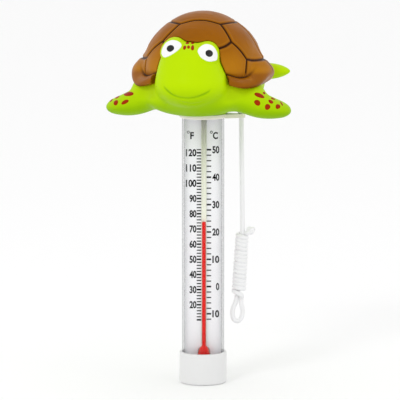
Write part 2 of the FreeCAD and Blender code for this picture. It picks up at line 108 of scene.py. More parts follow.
class TurtleSettings(bpy.types.PropertyGroup):
    """Sizes and colours of the turtle float."""

    skin: colour("Skin", "Lime vinyl of the turtle's body", 184, 220, 0)
    # Painted shade: the skin darkens to this green beside the smile and the chin's fold, low on the
    # body and where it faces down
    skin_fold: colour("Skin in folds", "Deeper green in creases and underneath", 116, 166, 0)
    shell: colour("Shell", "Brown paint of the shell", 150, 88, 0)
    # Painted shade: the shell darkens to this brown in its grooves, in the crease at its lip and
    # under the lip's edge
    shell_line: colour("Shell lines", "Dark brown in the shell's grooves", 52, 22, 0)
    # Painted highlight: the shell lightens to this golden brown low on the scutes and along the
    # beads beside the grooves
    shell_gold: colour("Shell gold", "Golden brown low on the scutes", 196, 132, 14)
    spot: colour("Spots", "Red-brown paint of the spots", 160, 44, 0)
    eye: colour("Eye white", "White paint of the eyes", 240, 240, 240)
    pupil: colour("Pupil", "Black paint of the pupils", 2, 2, 2)
    body_grain: length("Body mesh size", "Spacing of the body's mesh", 0.62 * MM)
    shell_grain: length("Shell mesh size", "Spacing of the shell's mesh", 0.5 * MM)
    groove_depth: length("Groove depth", "Depth of the shell's grooves", 0.55 * MM)
    groove_width: length("Groove width", "Width of the shell's grooves", 1.3 * MM)


class TubeSettings(bpy.types.PropertyGroup):
    """Sizes and colours of the tube, its fittings and the scale."""

    cap: colour("End cap", "White plastic of the end cap", 225, 225, 225)
    collar: colour("Collar", "Warm white plastic of the collar", 232, 227, 214)
    clear: colour("Clear plastic", "Tint of the tube's clear plastic", 160, 162, 165)
    card: colour("Card", "Plastic card behind the scale", 247, 247, 250)
    ink: colour("Ink", "Black ink of the scale", 8, 8, 10)
    glass: colour("Glass", "Tint of the stem's glass", 226, 230, 196)
    enamel: colour("Enamel", "Enamel on the back of the stem", 248, 249, 236)
    spirit: colour("Spirit", "Red spirit in the bulb and the column", 230, 2, 4)
    digit_height: length("Digit height", "Height of the scale's digits", 4.4 * MM)
    ink_thickness: length("Ink thickness", "Thickness of the printed ink", 0.03 * MM)


class TetherSettings(bpy.types.PropertyGroup):
    """Sizes and colours of the tether."""

    fibre: colour("Fibre", "White fibre of the tether", 238, 238, 239)
    diameter: length("Cord diameter", "Diameter of the braided cord", 2.7 * MM)
    strand_pitch: length("Strand pitch", "Length of one strand's turn on the cord", 1.5 * MM)


class StageSettings(bpy.types.PropertyGroup):
    """The floor and the lights."""

    floor: colour("Floor", "Pale floor", 250, 250, 250)
    floor_size: length("Floor size", "Side of the floor", 14.0)
    world_light: bpy.props.FloatProperty(name="World light", description="Strength of the world",
                                         default=1.0, min=0)
    key_light: bpy.props.FloatProperty(name="Key light", description="Power of the key light",
                                       default=3.6, min=0, unit="POWER")
    fill_light: bpy.props.FloatProperty(name="Fill light", description="Power of the fill light",
                                        default=1.0, min=0, unit="POWER")


class ThermometerSettings(bpy.types.PropertyGroup):
    """All settings of the thermometer."""

    turtle: bpy.props.PointerProperty(type=TurtleSettings)
    tube: bpy.props.PointerProperty(type=TubeSettings)
    tether: bpy.props.PointerProperty(type=TetherSettings)
    stage: bpy.props.PointerProperty(type=StageSettings)


def settings():
    """The scene's thermometer settings."""
    return bpy.context.scene.pool_thermometer


# Node groups and materials

GRAIN_STRENGTH = 0.35

def new_group(name, inputs, outputs):
    """A shader node group with named sockets. Returns the tree and its input and output nodes."""
    tree = bpy.data.node_groups.new(name, "ShaderNodeTree")
    for label, kind, default in inputs:
        socket = tree.interface.new_socket(label, in_out="INPUT", socket_type=kind)
        socket.default_value = default
    for label, kind in outputs:
        tree.interface.new_socket(label, in_out="OUTPUT", socket_type=kind)
    return tree, tree.nodes.new("NodeGroupInput"), tree.nodes.new("NodeGroupOutput")


def add(tree, kind, **settings):
    """A node with its properties set."""
    made = tree.nodes.new(kind)
    for key, setting in settings.items():
        setattr(made, key, setting)
    return made


def join(tree, source, target):
    """A link between two sockets."""
    tree.links.new(source, target)


def feed(tree, given, socket):
    """Give an input socket a link or a value."""
    if isinstance(given, bpy.types.NodeSocket):
        join(tree, given, socket)
    else:
        socket.default_value = given


def mix_colours(tree, factor, low, high):
    """The colour between two, as sockets or values. Returns the output socket."""
    made = add(tree, "ShaderNodeMix", data_type="RGBA")
    for index, given in ((0, factor), (6, low), (7, high)):
        feed(tree, given, made.inputs[index])
    return made.outputs[2]


def math_node(tree, operation, *given):
    """A math node on sockets or numbers. Returns the output socket."""
    made = add(tree, "ShaderNodeMath", operation=operation)
    for index, number in enumerate(given):
        feed(tree, number, made.inputs[index])
    return made.outputs[0]


def spread(tree, value, from_low, from_high, to_low, to_high):
    """A value moved from one range to another and held inside it. Returns the output socket."""
    made = add(tree, "ShaderNodeMapRange")
    join(tree, value, made.inputs[0])
    for index, number in enumerate((from_low, from_high, to_low, to_high), start=1):
        made.inputs[index].default_value = number
    return made.outputs[0]


def noise(tree, vector, scale, detail):
    """Fractal noise over the object. Returns the output socket."""
    made = add(tree, "ShaderNodeTexNoise")
    join(tree, vector, made.inputs["Vector"])
    feed(tree, scale, made.inputs["Scale"])
    feed(tree, detail, made.inputs["Detail"])
    return made.outputs[0]


def moulded_grain_group():
    """Fine grain, slow thickness waves and a soft change of gloss of moulded or painted plastic."""
    tree, given, out = new_group(
        "moulded_grain",
        [("Grain Scale", "NodeSocketFloat", 900.0), ("Wave Scale", "NodeSocketFloat", 60.0),
         ("Grain", "NodeSocketFloat", 0.3), ("Gloss Low", "NodeSocketFloat", 0.3),
         ("Gloss High", "NodeSocketFloat", 0.45)],
        [("Height", "NodeSocketFloat"), ("Roughness", "NodeSocketFloat"),
         ("Tone", "NodeSocketFloat")])
    place = add(tree, "ShaderNodeTexCoord").outputs["Object"]
    grain = noise(tree, place, given.outputs["Grain Scale"], 3)
    wave = noise(tree, place, given.outputs["Wave Scale"], 2)
    fine = math_node(tree, "MULTIPLY", grain, given.outputs["Grain"])
    join(tree, math_node(tree, "ADD", fine, wave), out.inputs["Height"])
    span = math_node(tree, "SUBTRACT", given.outputs["Gloss High"], given.outputs["Gloss Low"])
    eased = spread(tree, wave, 0.3, 0.7, 0.0, 1.0)
    rough = math_node(tree, "MULTIPLY_ADD", eased, span, given.outputs["Gloss Low"])
    join(tree, rough, out.inputs["Roughness"])
    join(tree, eased, out.inputs["Tone"])
    return tree


def fold_tint_group():
    """Colour that deepens with a mask, and shifts a little with a slow tone."""
    tree, given, out = new_group(
        "fold_tint",
        [("Base", "NodeSocketColor", (1, 1, 1, 1)), ("Fold", "NodeSocketColor", (0, 0, 0, 1)),
         ("Mask", "NodeSocketFloat", 0.0), ("Tone", "NodeSocketFloat", 0.5),
         ("Drift", "NodeSocketFloat", 0.06)],
        [("Colour", "NodeSocketColor")])
    drift = math_node(tree, "MULTIPLY", given.outputs["Tone"], given.outputs["Drift"])
    amount = math_node(tree, "ADD", given.outputs["Mask"], drift)
    held = spread(tree, amount, 0.0, 1.0, 0.0, 1.0)
    join(tree, mix_colours(tree, held, given.outputs["Base"], given.outputs["Fold"]),
         out.inputs["Colour"])
    return tree


def group(name, build):
    """A node group, built the first time it is asked for."""
    return bpy.data.node_groups.get(name) or build()


def place_group(tree, group_tree, **values):
    """A node group placed in a material, with its own values."""
    made = add(tree, "ShaderNodeGroup", node_tree=group_tree)
    for label, number in values.items():
        made.inputs[label.replace("_", " ")].default_value = number
    return made


def new_material(name):
    """An empty material. Returns it, its tree and its Principled shader."""
    made = bpy.data.materials.new(name)
    made.use_nodes = True
    return made, made.node_tree, made.node_tree.nodes["Principled BSDF"]


def mask_of(tree, attribute):
    """A mask that the mesh carries at its points."""
    return add(tree, "ShaderNodeAttribute", attribute_name=attribute).outputs["Fac"]


def bump(tree, height, strength, distance, shader):
    """Relief on a shader from a height."""
    made = add(tree, "ShaderNodeBump")
    made.inputs["Strength"].default_value = strength
    made.inputs["Distance"].default_value = distance
    join(tree, height, made.inputs["Height"])
    join(tree, made.outputs["Normal"], shader.inputs["Normal"])


def dim(tone, share):
    """A colour with a share of its light."""
    return (*(part * share for part in tone[:3]), 1.0)


def moulded_parts(name, tone, shade, mask=None, grain=0.3, low=0.3, high=0.45, relief=0.00004,
                  drift=0.06, grain_scale=900.0, wave_scale=60.0, **sockets):
    """A moulded or painted plastic with grain, gloss that drifts and colour that deepens.

    The shade that it deepens to is a colour, or the share of the tone that it keeps. Returns the
    material, its tree, its shader and its tint node.
    """
    made, tree, shader = new_material(name)
    surface = place_group(tree, group("moulded_grain", moulded_grain_group), Grain=grain,
                          Grain_Scale=grain_scale, Wave_Scale=wave_scale, Gloss_Low=low,
                          Gloss_High=high)
    deep = dim(tone, shade) if isinstance(shade, float) else tuple(shade)
    tint = place_group(tree, group("fold_tint", fold_tint_group), Base=tuple(tone), Fold=deep,
                       Drift=drift)
    join(tree, surface.outputs["Tone"], tint.inputs["Tone"])
    if mask:
        join(tree, mask_of(tree, mask), tint.inputs["Mask"])
    join(tree, tint.outputs["Colour"], shader.inputs["Base Color"])
    join(tree, surface.outputs["Roughness"], shader.inputs["Roughness"])
    bump(tree, surface.outputs["Height"], GRAIN_STRENGTH, relief, shader)
    for label, number in sockets.items():
        shader.inputs[label.replace("_", " ")].default_value = number
    return made, tree, shader, tint


def moulded(name, tone, shade, **choices):
    """The material alone of a moulded or painted plastic."""
    return moulded_parts(name, tone, shade, **choices)[0]


def paint(node_name, material):
    """Give a CAD node its material."""
    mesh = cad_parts[node_name].data
    mesh.materials.clear()
    mesh.materials.append(material)


# Meshes


def turned(degrees, axis):
    """A turn about an axis, as a matrix."""
    return np.array(Matrix.Rotation(math.radians(degrees), 3, axis))


def heading():
    """The turtle's frame turned into the world's, as a matrix on column vectors."""
    return turned(FLOAT_HEADING, "Z")


def to_world(points):
    """Points of the turtle's frame in the world's, in millimetres."""
    return np.asarray(points, float) @ heading().T


def to_turtle(points):
    """Points of the world's frame in the turtle's, in millimetres."""
    return np.asarray(points, float) @ heading()


def new_piece(name, points, faces, material, body):
    """A smooth mesh piece from points in world millimetres, riding on a body."""
    mesh = bpy.data.meshes.new(name)
    mesh.from_pydata((np.asarray(points, float) * MM).tolist(), [], faces)
    mesh.validate()
    solid = bmesh.new()
    solid.from_mesh(mesh)
    if solid.calc_volume(signed=True) < 0:
        mesh.flip_normals()
    solid.free()
    mesh.shade_smooth()
    piece = bpy.data.objects.new(name, mesh)
    bpy.context.scene.collection.objects.link(piece)
    mesh.materials.append(material)
    if body:
        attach(piece, body)
    return piece


def set_mask(piece, name, values):
    """Store a mask at a mesh's points."""
    layer = piece.data.attributes.new(name, "FLOAT", "POINT")
    layer.data.foreach_set("value", np.asarray(values, np.float32))


def box_mesh(mesh, low, high):
    """Add a box between two corners, in millimetres, to a bmesh in metres."""
    corners = [mesh.verts.new((x * MM, y * MM, z * MM))
               for z in (low[2], high[2]) for y in (low[1], high[1]) for x in (low[0], high[0])]
    for side in ((0, 2, 3, 1), (4, 5, 7, 6), (0, 1, 5, 4), (2, 6, 7, 3), (0, 4, 6, 2),
                 (1, 3, 7, 5)):
        mesh.faces.new([corners[i] for i in side])


# Distance fields, in millimetres: below zero inside a shape


def row_norm(vectors):
    """Length of each row."""
    return np.sqrt(np.einsum("...i,...i->...", vectors, vectors))


def lump(points, middle, half, turn=None):
    """Distance to an ellipsoid, which may be turned by a matrix."""
    local = points - np.asarray(middle, float)
    if turn is not None:
        local = local @ turn
    half = np.asarray(half, float)
    near = row_norm(local / half)
    steep = row_norm(local / (half * half))
    return near * (near - 1) / np.maximum(steep, 1e-6)


def merge(first, second, soft):
    """Two shapes as one, with a fillet between them."""
    share = np.clip(0.5 + 0.5 * (second - first) / soft, 0, 1)
    return second * (1 - share) + first * share - soft * share * (1 - share)


def carve(first, second, soft):
    """The first shape less the second, with a soft edge."""
    return -merge(-first, second, soft)


def near_line(points, line):
    """Distance to an open line of points, and the share along it of the nearest place."""
    line = np.asarray(line, float)
    flat = points.reshape(-1, 3)
    best = np.full(len(flat), 1e9)
    where = np.zeros(len(flat))
    low, high = line.min(0) - 6, line.max(0) + 6
    close = np.nonzero(((flat > low) & (flat < high)).all(1))[0]
    inside = flat[close]
    nearest = np.full(len(inside), 1e9)
    share = np.zeros(len(inside))
    for i in range(len(line) - 1):
        run = line[i + 1] - line[i]
        along = np.clip(((inside - line[i]) @ run) / (run @ run), 0, 1)
        gap = row_norm(inside - line[i] - along[:, None] * run)
        nearer = gap < nearest
        nearest = np.where(nearer, gap, nearest)
        share = np.where(nearer, (i + along) / (len(line) - 1), share)
    best[close] = nearest
    where[close] = share
    return best.reshape(points.shape[:-1]), where.reshape(points.shape[:-1])


def ease(values, low, high):
    """A smooth step from 0 at low to 1 at high."""
    share = np.clip((values - low) / (high - low), 0, 1)
    return share * share * (3 - 2 * share)


def field_mesh(field, low, high, grain):
    """Points, in the field's frame, and faces where a field crosses zero."""
    axes = [np.arange(a, b + grain, grain) for a, b in zip(low, high)]
    values = np.empty([len(axis) for axis in axes], np.float32)
    across = np.stack(np.meshgrid(axes[1], axes[2], indexing="ij"), -1)
    for i, x in enumerate(axes[0]):
        slab = np.concatenate([np.full((*across.shape[:2], 1), x), across], -1)
        values[i] = field(slab)
    grid = openvdb.FloatGrid(5.0)
    grid.copyFromArray(np.clip(values, -5, 5))
    points, triangles, quads = grid.convertToPolygons(0.0, 0.0)
    points = points * grain + np.asarray(low, float)
    return points, [tuple(face) for face in quads.tolist() + triangles.tolist()]


def seen_line(outline):
    """Where the camera's rays through an outline on the sight plane start, and their directions."""
    eye = np.array(CAMERA_PLACE) / MM
    outline = np.asarray(outline, float)
    plane = np.stack([outline[:, 0], np.full(len(outline), SIGHT_PLANE), outline[:, 1]], -1)
    away = plane - eye
    away /= row_norm(away)[:, None]
    return to_turtle(plane - SIGHT_LEAD * away), to_turtle(away)


def land(field, starts, away):
    """March rays onto a field. Returns where they land, or come nearest if they miss."""
    here = starts.copy()
    nearest = starts.copy()
    least = np.full(len(starts), 1e9)
    for _ in range(90):
        gap = field(here)
        nearer = np.abs(gap) < least
        nearest[nearer] = here[nearer]
        least[nearer] = np.abs(gap[nearer])
        going = row_norm(here - starts) < SIGHT_REACH
        here = here + away * (gap * 0.85 * going)[:, None]
    return nearest


def rounded(corners, count, closed=False):
    """A smooth line through given corners, open or closed, as a number of points."""
    corners = np.asarray(corners, float)
    if closed:
        ends = np.concatenate([corners[-1:], corners, corners[:2]])
        places = np.linspace(0, len(corners), count, endpoint=False)
    else:
        ends = np.concatenate([[2 * corners[0] - corners[1]], corners,
                               [2 * corners[-1] - corners[-2]]])
        places = np.linspace(0, len(corners) - 1, count)
    made = []
    for place in places:
        i = min(int(place), len(ends) - 4)
        t = place - i
        a, b, c, d = ends[i:i + 4]
        made.append(0.5 * (2 * b + (c - a) * t + (2 * a - 5 * b + 4 * c - d) * t ** 2
                           + (3 * b - a - 3 * c + d) * t ** 3))
    return np.array(made)


def ring_sides(low, high, count):
    """Faces that join two rings of points, which start at these numbers."""
    return [(low + k, low + (k + 1) % count, high + (k + 1) % count, high + k)
            for k in range(count)]


def curve_mesh(curve):
    """Points and faces of a curve as a mesh. The curve is used up."""
    holder = bpy.data.objects.new(curve.name, curve)
    bpy.context.scene.collection.objects.link(holder)
    bpy.context.view_layer.update()
    seen = holder.evaluated_get(bpy.context.evaluated_depsgraph_get())
    mesh = bpy.data.meshes.new_from_object(seen)
    points = np.array([vertex.co for vertex in mesh.vertices], float)
    faces = [tuple(face.vertices) for face in mesh.polygons]
    bpy.data.meshes.remove(mesh)
    bpy.data.objects.remove(holder)
    bpy.data.curves.remove(curve)
    return points, faces


# Tether

HANK_PIVOT = (23.3, 0.0, 91.6)
HANK_LEAN = 3.3
# The hank's leg, which the wraps go round, and its eye: side, depth and drop below the pivot
LEG_POINTS = [(0.1, 0.0, 4.0), (-0.1, 0.0, 20.0), (0.0, 0.0, 34.0), (-0.9, 0.0, 40.0),
              (-1.5, 0.0, 44.0)]
EYE_POINTS = [(-2.9, 0.0, 47.4), (-3.1, 0.0, 51.6), (-1.7, 0.1, 55.0), (1.5, 0.1, 55.2),
              (3.0, 0.0, 51.8), (2.8, 0.0, 47.6), (1.7, -0.1, 44.4)]
WRAP_RADIUS = 2.6
WRAP_SWELL = 0.45
WRAP_PITCH = 2.35
WRAP_LOW = 37.8
WRAP_HIGH = 3.2
WRAP_LEAD = 3.6
WRAP_TUCK = 0.45
WRAP_UNEVEN = ((0.10, 1.9, 0.6), (0.07, 4.3, 0.0))  # Swing, rate and start of each waver
# The share of its thickness that the leg keeps inside the wraps, where it starts and stops being
# pressed, and how near the hank's axis it is
LEG_KEEP = 0.68
LEG_START = (3.5, 6.5)
LEG_END = (35.5, 39.0)
LEG_NEAR = (0.9, 1.1)
POINTS_PER_TURN = 12
BRAID_SIDES = 24
BRAID_STEP = 0.32
BRAID_RELIEF = 0.05
BRAID_STRANDS = 3
KNOT_RADIUS = 1.25
KNOT_PITCH = 1.2


def on_hank(side, depth, along):
    """A point of the hank from its side, its depth and its drop below the pivot, in millimetres."""
    lean = math.radians(HANK_LEAN)
    return (HANK_PIVOT[0] + side * math.cos(lean) - along * math.sin(lean), depth,
            HANK_PIVOT[2] - side * math.sin(lean) - along * math.cos(lean))


def tether_route():
    """The cord's route: the drop, the leg through the wraps, the eye, the wraps and the tail."""
    drop = [(22.5, 0.0, 157.7), (22.7, 0.0, 140.0), (23.1, 0.0, 108.0), (23.3, 0.0, 94.0)]
    leg_and_eye = [on_hank(*place) for place in LEG_POINTS + EYE_POINTS]
    wraps = []
    turns = (WRAP_LOW - WRAP_HIGH) / WRAP_PITCH
    for i in range(round(turns * POINTS_PER_TURN) + 1):
        turn = i / POINTS_PER_TURN
        angle = 2 * math.pi * turn
        uneven = sum(swing * math.sin(rate * turn + start) for swing, rate, start in WRAP_UNEVEN)
        lead = math.exp(-6 * turn)
        swollen = WRAP_RADIUS + WRAP_SWELL * (1 - turn / turns) + 0.5 * uneven
        radius = swollen * (1 - WRAP_TUCK * lead)
        wraps.append(on_hank(radius * math.cos(angle), -radius * math.sin(angle),
                             WRAP_LOW + WRAP_LEAD * lead - turn * WRAP_PITCH + uneven))
    tail = [(26.3, -1.9, 89.3), (27.1, -1.6, 90.4), (28.1, -0.4, 91.0)]
    return drop + leg_and_eye + wraps + tail


def spline_line(name, points):
    """The smooth line of one open NURBS spline with these control points, in millimetres."""
    curve = bpy.data.curves.new(name, "CURVE")
    curve.dimensions = "3D"
    curve.resolution_u = 8
    spline = curve.splines.new("NURBS")
    spline.points.add(len(points) - 1)
    for point, place in zip(spline.points, points):
        point.co = (*(part * MM for part in place), 1.0)
    spline.order_u = 3
    spline.use_endpoint_u = True
    return curve_mesh(curve)[0] / MM


def evenly(line, step):
    """A line's points, evenly spaced along it."""
    runs = row_norm(np.diff(line, axis=0))
    kept = np.concatenate([[True], runs > 1e-6])
    line = line[kept]
    along = np.concatenate([[0], np.cumsum(row_norm(np.diff(line, axis=0)))])
    wanted = np.linspace(0, along[-1], max(2, round(along[-1] / step)) + 1)
    return np.stack([np.interp(wanted, along, line[:, k]) for k in range(3)], -1), wanted


def braided_tube(line, radius, pitch, squeeze=None):
    """Points and faces of a braided cord along a line, with round ends, all in millimetres."""
    centres, along = evenly(line, BRAID_STEP)
    ahead = np.gradient(centres, axis=0)
    ahead /= row_norm(ahead)[:, None]
    side = np.cross(ahead[0], (0.3, 1.0, 0.2))
    side /= np.linalg.norm(side)
    sides = []
    for direction in ahead:
        side = side - direction * (side @ direction)
        side /= np.linalg.norm(side)
        sides.append(side)
    sides = np.array(sides)
    ups = np.cross(ahead, sides)
    total = along[-1]
    round_off = np.ones(len(along))
    for gap in (along, total - along):
        near = np.clip(gap / radius, 0.02, 1)
        round_off = np.minimum(round_off, np.sqrt(1 - (1 - near) ** 2))
    turn = np.linspace(0, 2 * np.pi, BRAID_SIDES, endpoint=False)
    phase = along[:, None] * (2 * np.pi / (pitch * 2))
    one = np.abs(np.sin(BRAID_STRANDS * turn[None] + phase))
    other = np.abs(np.sin(BRAID_STRANDS * turn[None] - phase))
    relief = 1 - BRAID_RELIEF + 2 * BRAID_RELIEF * np.maximum(one, other) ** 2
    size = radius * round_off[:, None] * np.where(round_off[:, None] > 0.98, relief, 1)
    if squeeze is not None:
        size *= squeeze(centres)[:, None]
    points = (centres[:, None] + sides[:, None] * (np.cos(turn)[None] * size)[..., None]
              + ups[:, None] * (np.sin(turn)[None] * size)[..., None]).reshape(-1, 3)
    faces = []
    for i in range(len(along) - 1):
        faces += ring_sides(i * BRAID_SIDES, (i + 1) * BRAID_SIDES, BRAID_SIDES)
    faces.append(tuple(range(BRAID_SIDES))[::-1])
    last = (len(along) - 1) * BRAID_SIDES
    faces.append(tuple(last + k for k in range(BRAID_SIDES)))
    mask = ((1 - np.maximum(one, other)) * np.ones_like(size)).ravel()
    return points, faces, mask


def leg_squeeze(centres):
    """How much of its thickness the cord keeps: the wraps press the leg inside them thinner."""
    reach = centres - HANK_PIVOT
    lean = math.radians(HANK_LEAN)
    down = np.array((-math.sin(lean), 0, -math.cos(lean)))
    along = reach @ down
    off = row_norm(reach - along[:, None] * down)
    inside = ease(along, *LEG_START) * (1 - ease(along, *LEG_END)) * (1 - ease(off, *LEG_NEAR))
    return 1 - (1 - LEG_KEEP) * inside


def knot_line(middle, half):
    """A three-lobed knot's line that fills a given half size, in millimetres."""
    turn = np.linspace(0, 2 * np.pi, 120)
    line = np.stack([np.sin(turn) + 2 * np.sin(2 * turn), 1.9 * np.sin(3 * turn),
                     np.cos(turn) - 2 * np.cos(2 * turn)], -1) / 3
    return np.asarray(middle) + line * np.asarray(half)


def fibre_material():
    """White braided polyester with fuzz in its sheen and shade between its strands."""
    tones = settings().tether
    return moulded("fibre_white", tones.fibre, 0.86, mask="strand_gap", grain=0.8, low=0.7,
                   high=0.9, relief=0.0001, grain_scale=2600.0, wave_scale=300.0, drift=0.05,
                   Sheen_Weight=0.5, Sheen_Roughness=0.5, Specular_IOR_Level=0.25)


class TETHER_OT_build(bpy.types.Operator):
    """Build the braided tether with its hank, its stopper above the ear and its end knot"""

    bl_idname = "thermometer.build_tether"
    bl_label = "Tether"

    def execute(self, context):
        """Make the tether's pieces."""
        sizes = settings().tether
        radius = sizes.diameter / 2 / MM
        pitch = sizes.strand_pitch / MM
        fibre = fibre_material()
        line = spline_line("tether_route", tether_route())
        points, faces, gaps = braided_tube(line, radius, pitch, leg_squeeze)
        cord = new_piece("tether_cord_braid", points, faces, fibre, None)
        set_mask(cord, "strand_gap", gaps)
        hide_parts("tether_cord", "tether_hank")
        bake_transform(cord)

        root = np.array([(22.5, 0.0, 155.0), (22.5, 0.0, 158.5), (22.5, 0.0, 160.9)])
        points, faces, gaps = braided_tube(root, radius, pitch)
        strand = new_piece("tether_root", points, faces, fibre, "float")
        set_mask(strand, "strand_gap", gaps)

        for name, middle, half, body, node in (
                ("tether_stopper", (22.5, 0.0, 161.7), (1.4, 1.0, 1.0), "float", "tether_knot"),
                ("tether_tail_knot", (28.2, -0.2, 90.9), (1.6, 1.3, 1.35), "hank",
                 "tether_end_knot")):
            points, faces, gaps = braided_tube(knot_line(middle, half), KNOT_RADIUS, KNOT_PITCH)
            knot = new_piece(name, points, faces, fibre, body)
            set_mask(knot, "strand_gap", gaps)
            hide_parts(node)
        return {"FINISHED"}


# Turtle float

CROWN_MIDDLE = np.array([0.0, -34.0, 198.0])
CROWN_ROLL = turned(6.0, "Y")
SIDES = (-1, 1)
ARM_DROOP = 18
PADDLE_SWEEP = 14
PADDLE_DROOP = 9
FIN_SWEEP = 16
# Fillets between the turtle's lumps
CHEEK_FILLET = 5.0
BROW_FILLET = 2.6
PADDLE_FILLET = 5.0
LIMB_FILLET = 4.0
FLIPPER_FILLET = 4.5
TAIL_FILLET = 2.0
NECK_FILLET = 3.2
BELLY_TOP = 183.0
# The round boss under the belly that sits on the collar
BOSS_RADIUS = 14.4
BOSS_BOTTOM = 160.45
BOSS_TOP = 175.0
BOSS_FILLET = 1.2
BODY_BOX = ((-60, -60, 156), (60, 60, 214))

# Each outline is seen by the camera on the sight plane
EYE_OUTLINES = {
    "right": [(-17.9, 209.1), (-21.4, 207.3), (-23.5, 203.4), (-23.5, 200.8), (-22.0, 199.2),
              (-19.4, 199.9), (-16.0, 201.9), (-13.4, 204.0), (-12.2, 206.4), (-14.3, 208.5)],
    "left": [(-3.1, 202.9), (-1.5, 205.4), (1.9, 206.9), (5.7, 205.6), (8.0, 202.0),
             (8.1, 198.8), (7.3, 197.4), (3.6, 196.8), (0.8, 197.7), (-1.6, 199.6)],
}
PUPILS = {"right": (-18.2, 203.9), "left": (3.1, 201.2)}
PUPIL_RADIUS = 1.95
PUPIL_LIFT = 0.95
LENS_POWER = 2.6
LENS_TUCK = 0.05
OVAL_CORNERS = 10
SMILE = [(-22.9, 183.1), (-20.6, 180.3), (-17.7, 177.9), (-14.1, 176.3), (-9.6, 175.6),
         (-5.6, 175.9), (-1.7, 177.1), (2.0, 178.8), (4.8, 180.7)]
RIM_POINTS = 56
LID_RADIUS = 0.75
LID_FILLET = 1.3
SMILE_DEPTH = 0.7
CHIN_DEPTH = 0.4
CHIN_SINK = 0.15
# Where the skin's painted shade begins and ends: beside the folds, by height and by slope
SMILE_SHADE = (0.25, 1.15)
CHIN_SHADE = (0.2, 3.0)
LOW_SHADE = (160, 181)
SLOPE_SHADE = (-0.7, 0.3)
CHIN_FOLD = [(-12.8, 173.8), (-9.8, 172.8), (-6.5, 172.4), (-3.0, 172.8), (0.2, 173.9)]
# Spots: middle, half width, half height and tilt, as the camera sees them
FACE_SPOTS = [(-8.9, 207.4, 1.1, 0.7, 5), (-5.9, 207.4, 1.1, 0.6, 8),
              (-10.5, 204.8, 0.9, 1.3, -20), (-8.3, 205.1, 0.85, 1.0, 5),
              (-6.0, 204.7, 0.95, 1.6, -5)]
RIGHT_FLIPPER_SPOTS = [(-42.3, 178.3, 2.9, 1.25, 8), (-44.5, 173.7, 2.4, 1.1, 28),
                       (-49.7, 173.3, 1.25, 1.7, -25), (-48.9, 176.5, 1.5, 0.55, 30),
                       (-52.3, 174.8, 1.3, 0.5, 48), (-42.3, 181.0, 1.2, 0.4, 50)]
LEFT_FLIPPER_SPOTS = [(32.0, 177.5, 3.2, 1.25, -22), (30.9, 173.3, 2.0, 1.6, -40),
                      (36.7, 170.9, 1.6, 1.8, -25), (38.6, 173.9, 1.6, 1.0, -32),
                      (42.6, 171.1, 1.4, 1.5, -30), (44.7, 172.8, 1.5, 0.4, -58),
                      (34.8, 178.8, 0.9, 0.6, -45), (39.8, 175.6, 1.4, 0.5, -25)]


def head_field(points):
    """The head: muzzle, cheeks, crown and the two brows."""
    muzzle = lump(points, (0.5, -34.5, 181.1), (21.1, 20.0, 14.2))
    local = (points - CROWN_MIDDLE) @ CROWN_ROLL
    made = merge(muzzle, lump(local, (0.2, 1.5, -8.4), (18.3, 17.5, 15.6)),
                 CHEEK_FILLET)
    for side in SIDES:
        brow = lump(local, (side * 9.6 - 0.5, 2.2, 1.0), (7.2, 9.5, 8.0))
        made = merge(made, brow, BROW_FILLET)
    return made


def limb_field(points):
    """Flippers, fins, hips, throat, chest and tail."""
    throat = lump(points, (0, -24.5, 171.0), (28.0, 17.5, 9.6))
    tail = lump(points, (0, 43.0, 175.6), (4.0, 9.0, 3.4))
    made = throat
    for side in SIDES:
        droop = turned(side * ARM_DROOP, "Y")
        tip_droop = turned(side * PADDLE_SWEEP, "Z") @ turned(side * PADDLE_DROOP, "Y")
        arm = lump(points, (side * 29.0, -17.0, 170.9), (17.0, 11.0, 7.6), droop)
        paddle = lump(points, (side * 41.8, -14.5, 166.3), (13.4, 11.4, 5.9), tip_droop)
        shoulder = lump(points, (side * 27.5, -13.0, 175.1 - 1.3 * side), (11.5, 13.0, 8.5))
        limb = merge(merge(arm, paddle, PADDLE_FILLET), shoulder, LIMB_FILLET)
        made = merge(made, limb, FLIPPER_FILLET)
        hip = lump(points, (side * 22.0, 33.0, 177.4), (9.0, 9.0, 4.4))
        sweep_back = turned(side * FIN_SWEEP, "Z")
        fin = lump(points, (side * 28.5, 42.0, 181.8), (11.5, 6.8, 4.8), sweep_back)
        fin_tip = lump(points, (side * 36.0, 43.6, 181.8), (7.8, 5.4, 2.6), sweep_back)
        rear = merge(hip, merge(fin, fin_tip, LIMB_FILLET), LIMB_FILLET)
        made = np.minimum(made, rear)
    return merge(made, tail, TAIL_FILLET)


def body_field(points):
    """The whole green body, with no face drawn into it."""
    belly = lump(points, (0, 0, 178.5), (36.0, 41.0, 17.4))
    height = points[..., 2]
    belly = np.maximum(belly, height - BELLY_TOP)
    out = np.hypot(points[..., 0], points[..., 1])
    boss = np.maximum(out - BOSS_RADIUS, np.maximum(BOSS_BOTTOM - height, height - BOSS_TOP))
    made = merge(merge(belly, boss, BOSS_FILLET), limb_field(points), LIMB_FILLET)
    return merge(made, head_field(points), NECK_FILLET)


def face_lines():
    """Where the eyes' rims, the smile and the chin's fold lie on the body, in its own frame."""
    lines = {}
    for word, outline in EYE_OUTLINES.items():
        lines[word] = land(body_field, *seen_line(rounded(outline, RIM_POINTS, closed=True)))
        lines[word] = np.concatenate([lines[word], lines[word][:1]])
    lines["smile"] = land(body_field, *seen_line(rounded(SMILE, 40)))
    lines["chin"] = land(body_field, *seen_line(rounded(CHIN_FOLD, 16)))
    return lines


def finished_body(points, lines):
    """The body with its eyelid rims raised and its smile and chin fold drawn in."""
    made = body_field(points)
    for word in EYE_OUTLINES:
        gap, _ = near_line(points, lines[word])
        made = merge(made, gap - LID_RADIUS, LID_FILLET)
    gap, share = near_line(points, lines["smile"])
    depth = SMILE_DEPTH * np.sin(np.pi * np.clip(share, 0.02, 0.98)) ** 0.5
    made = carve(made, gap - depth, 0.8)
    gap, share = near_line(points, lines["chin"])
    return carve(made, gap - CHIN_DEPTH * np.sin(np.pi * share) + CHIN_SINK, 1.6)


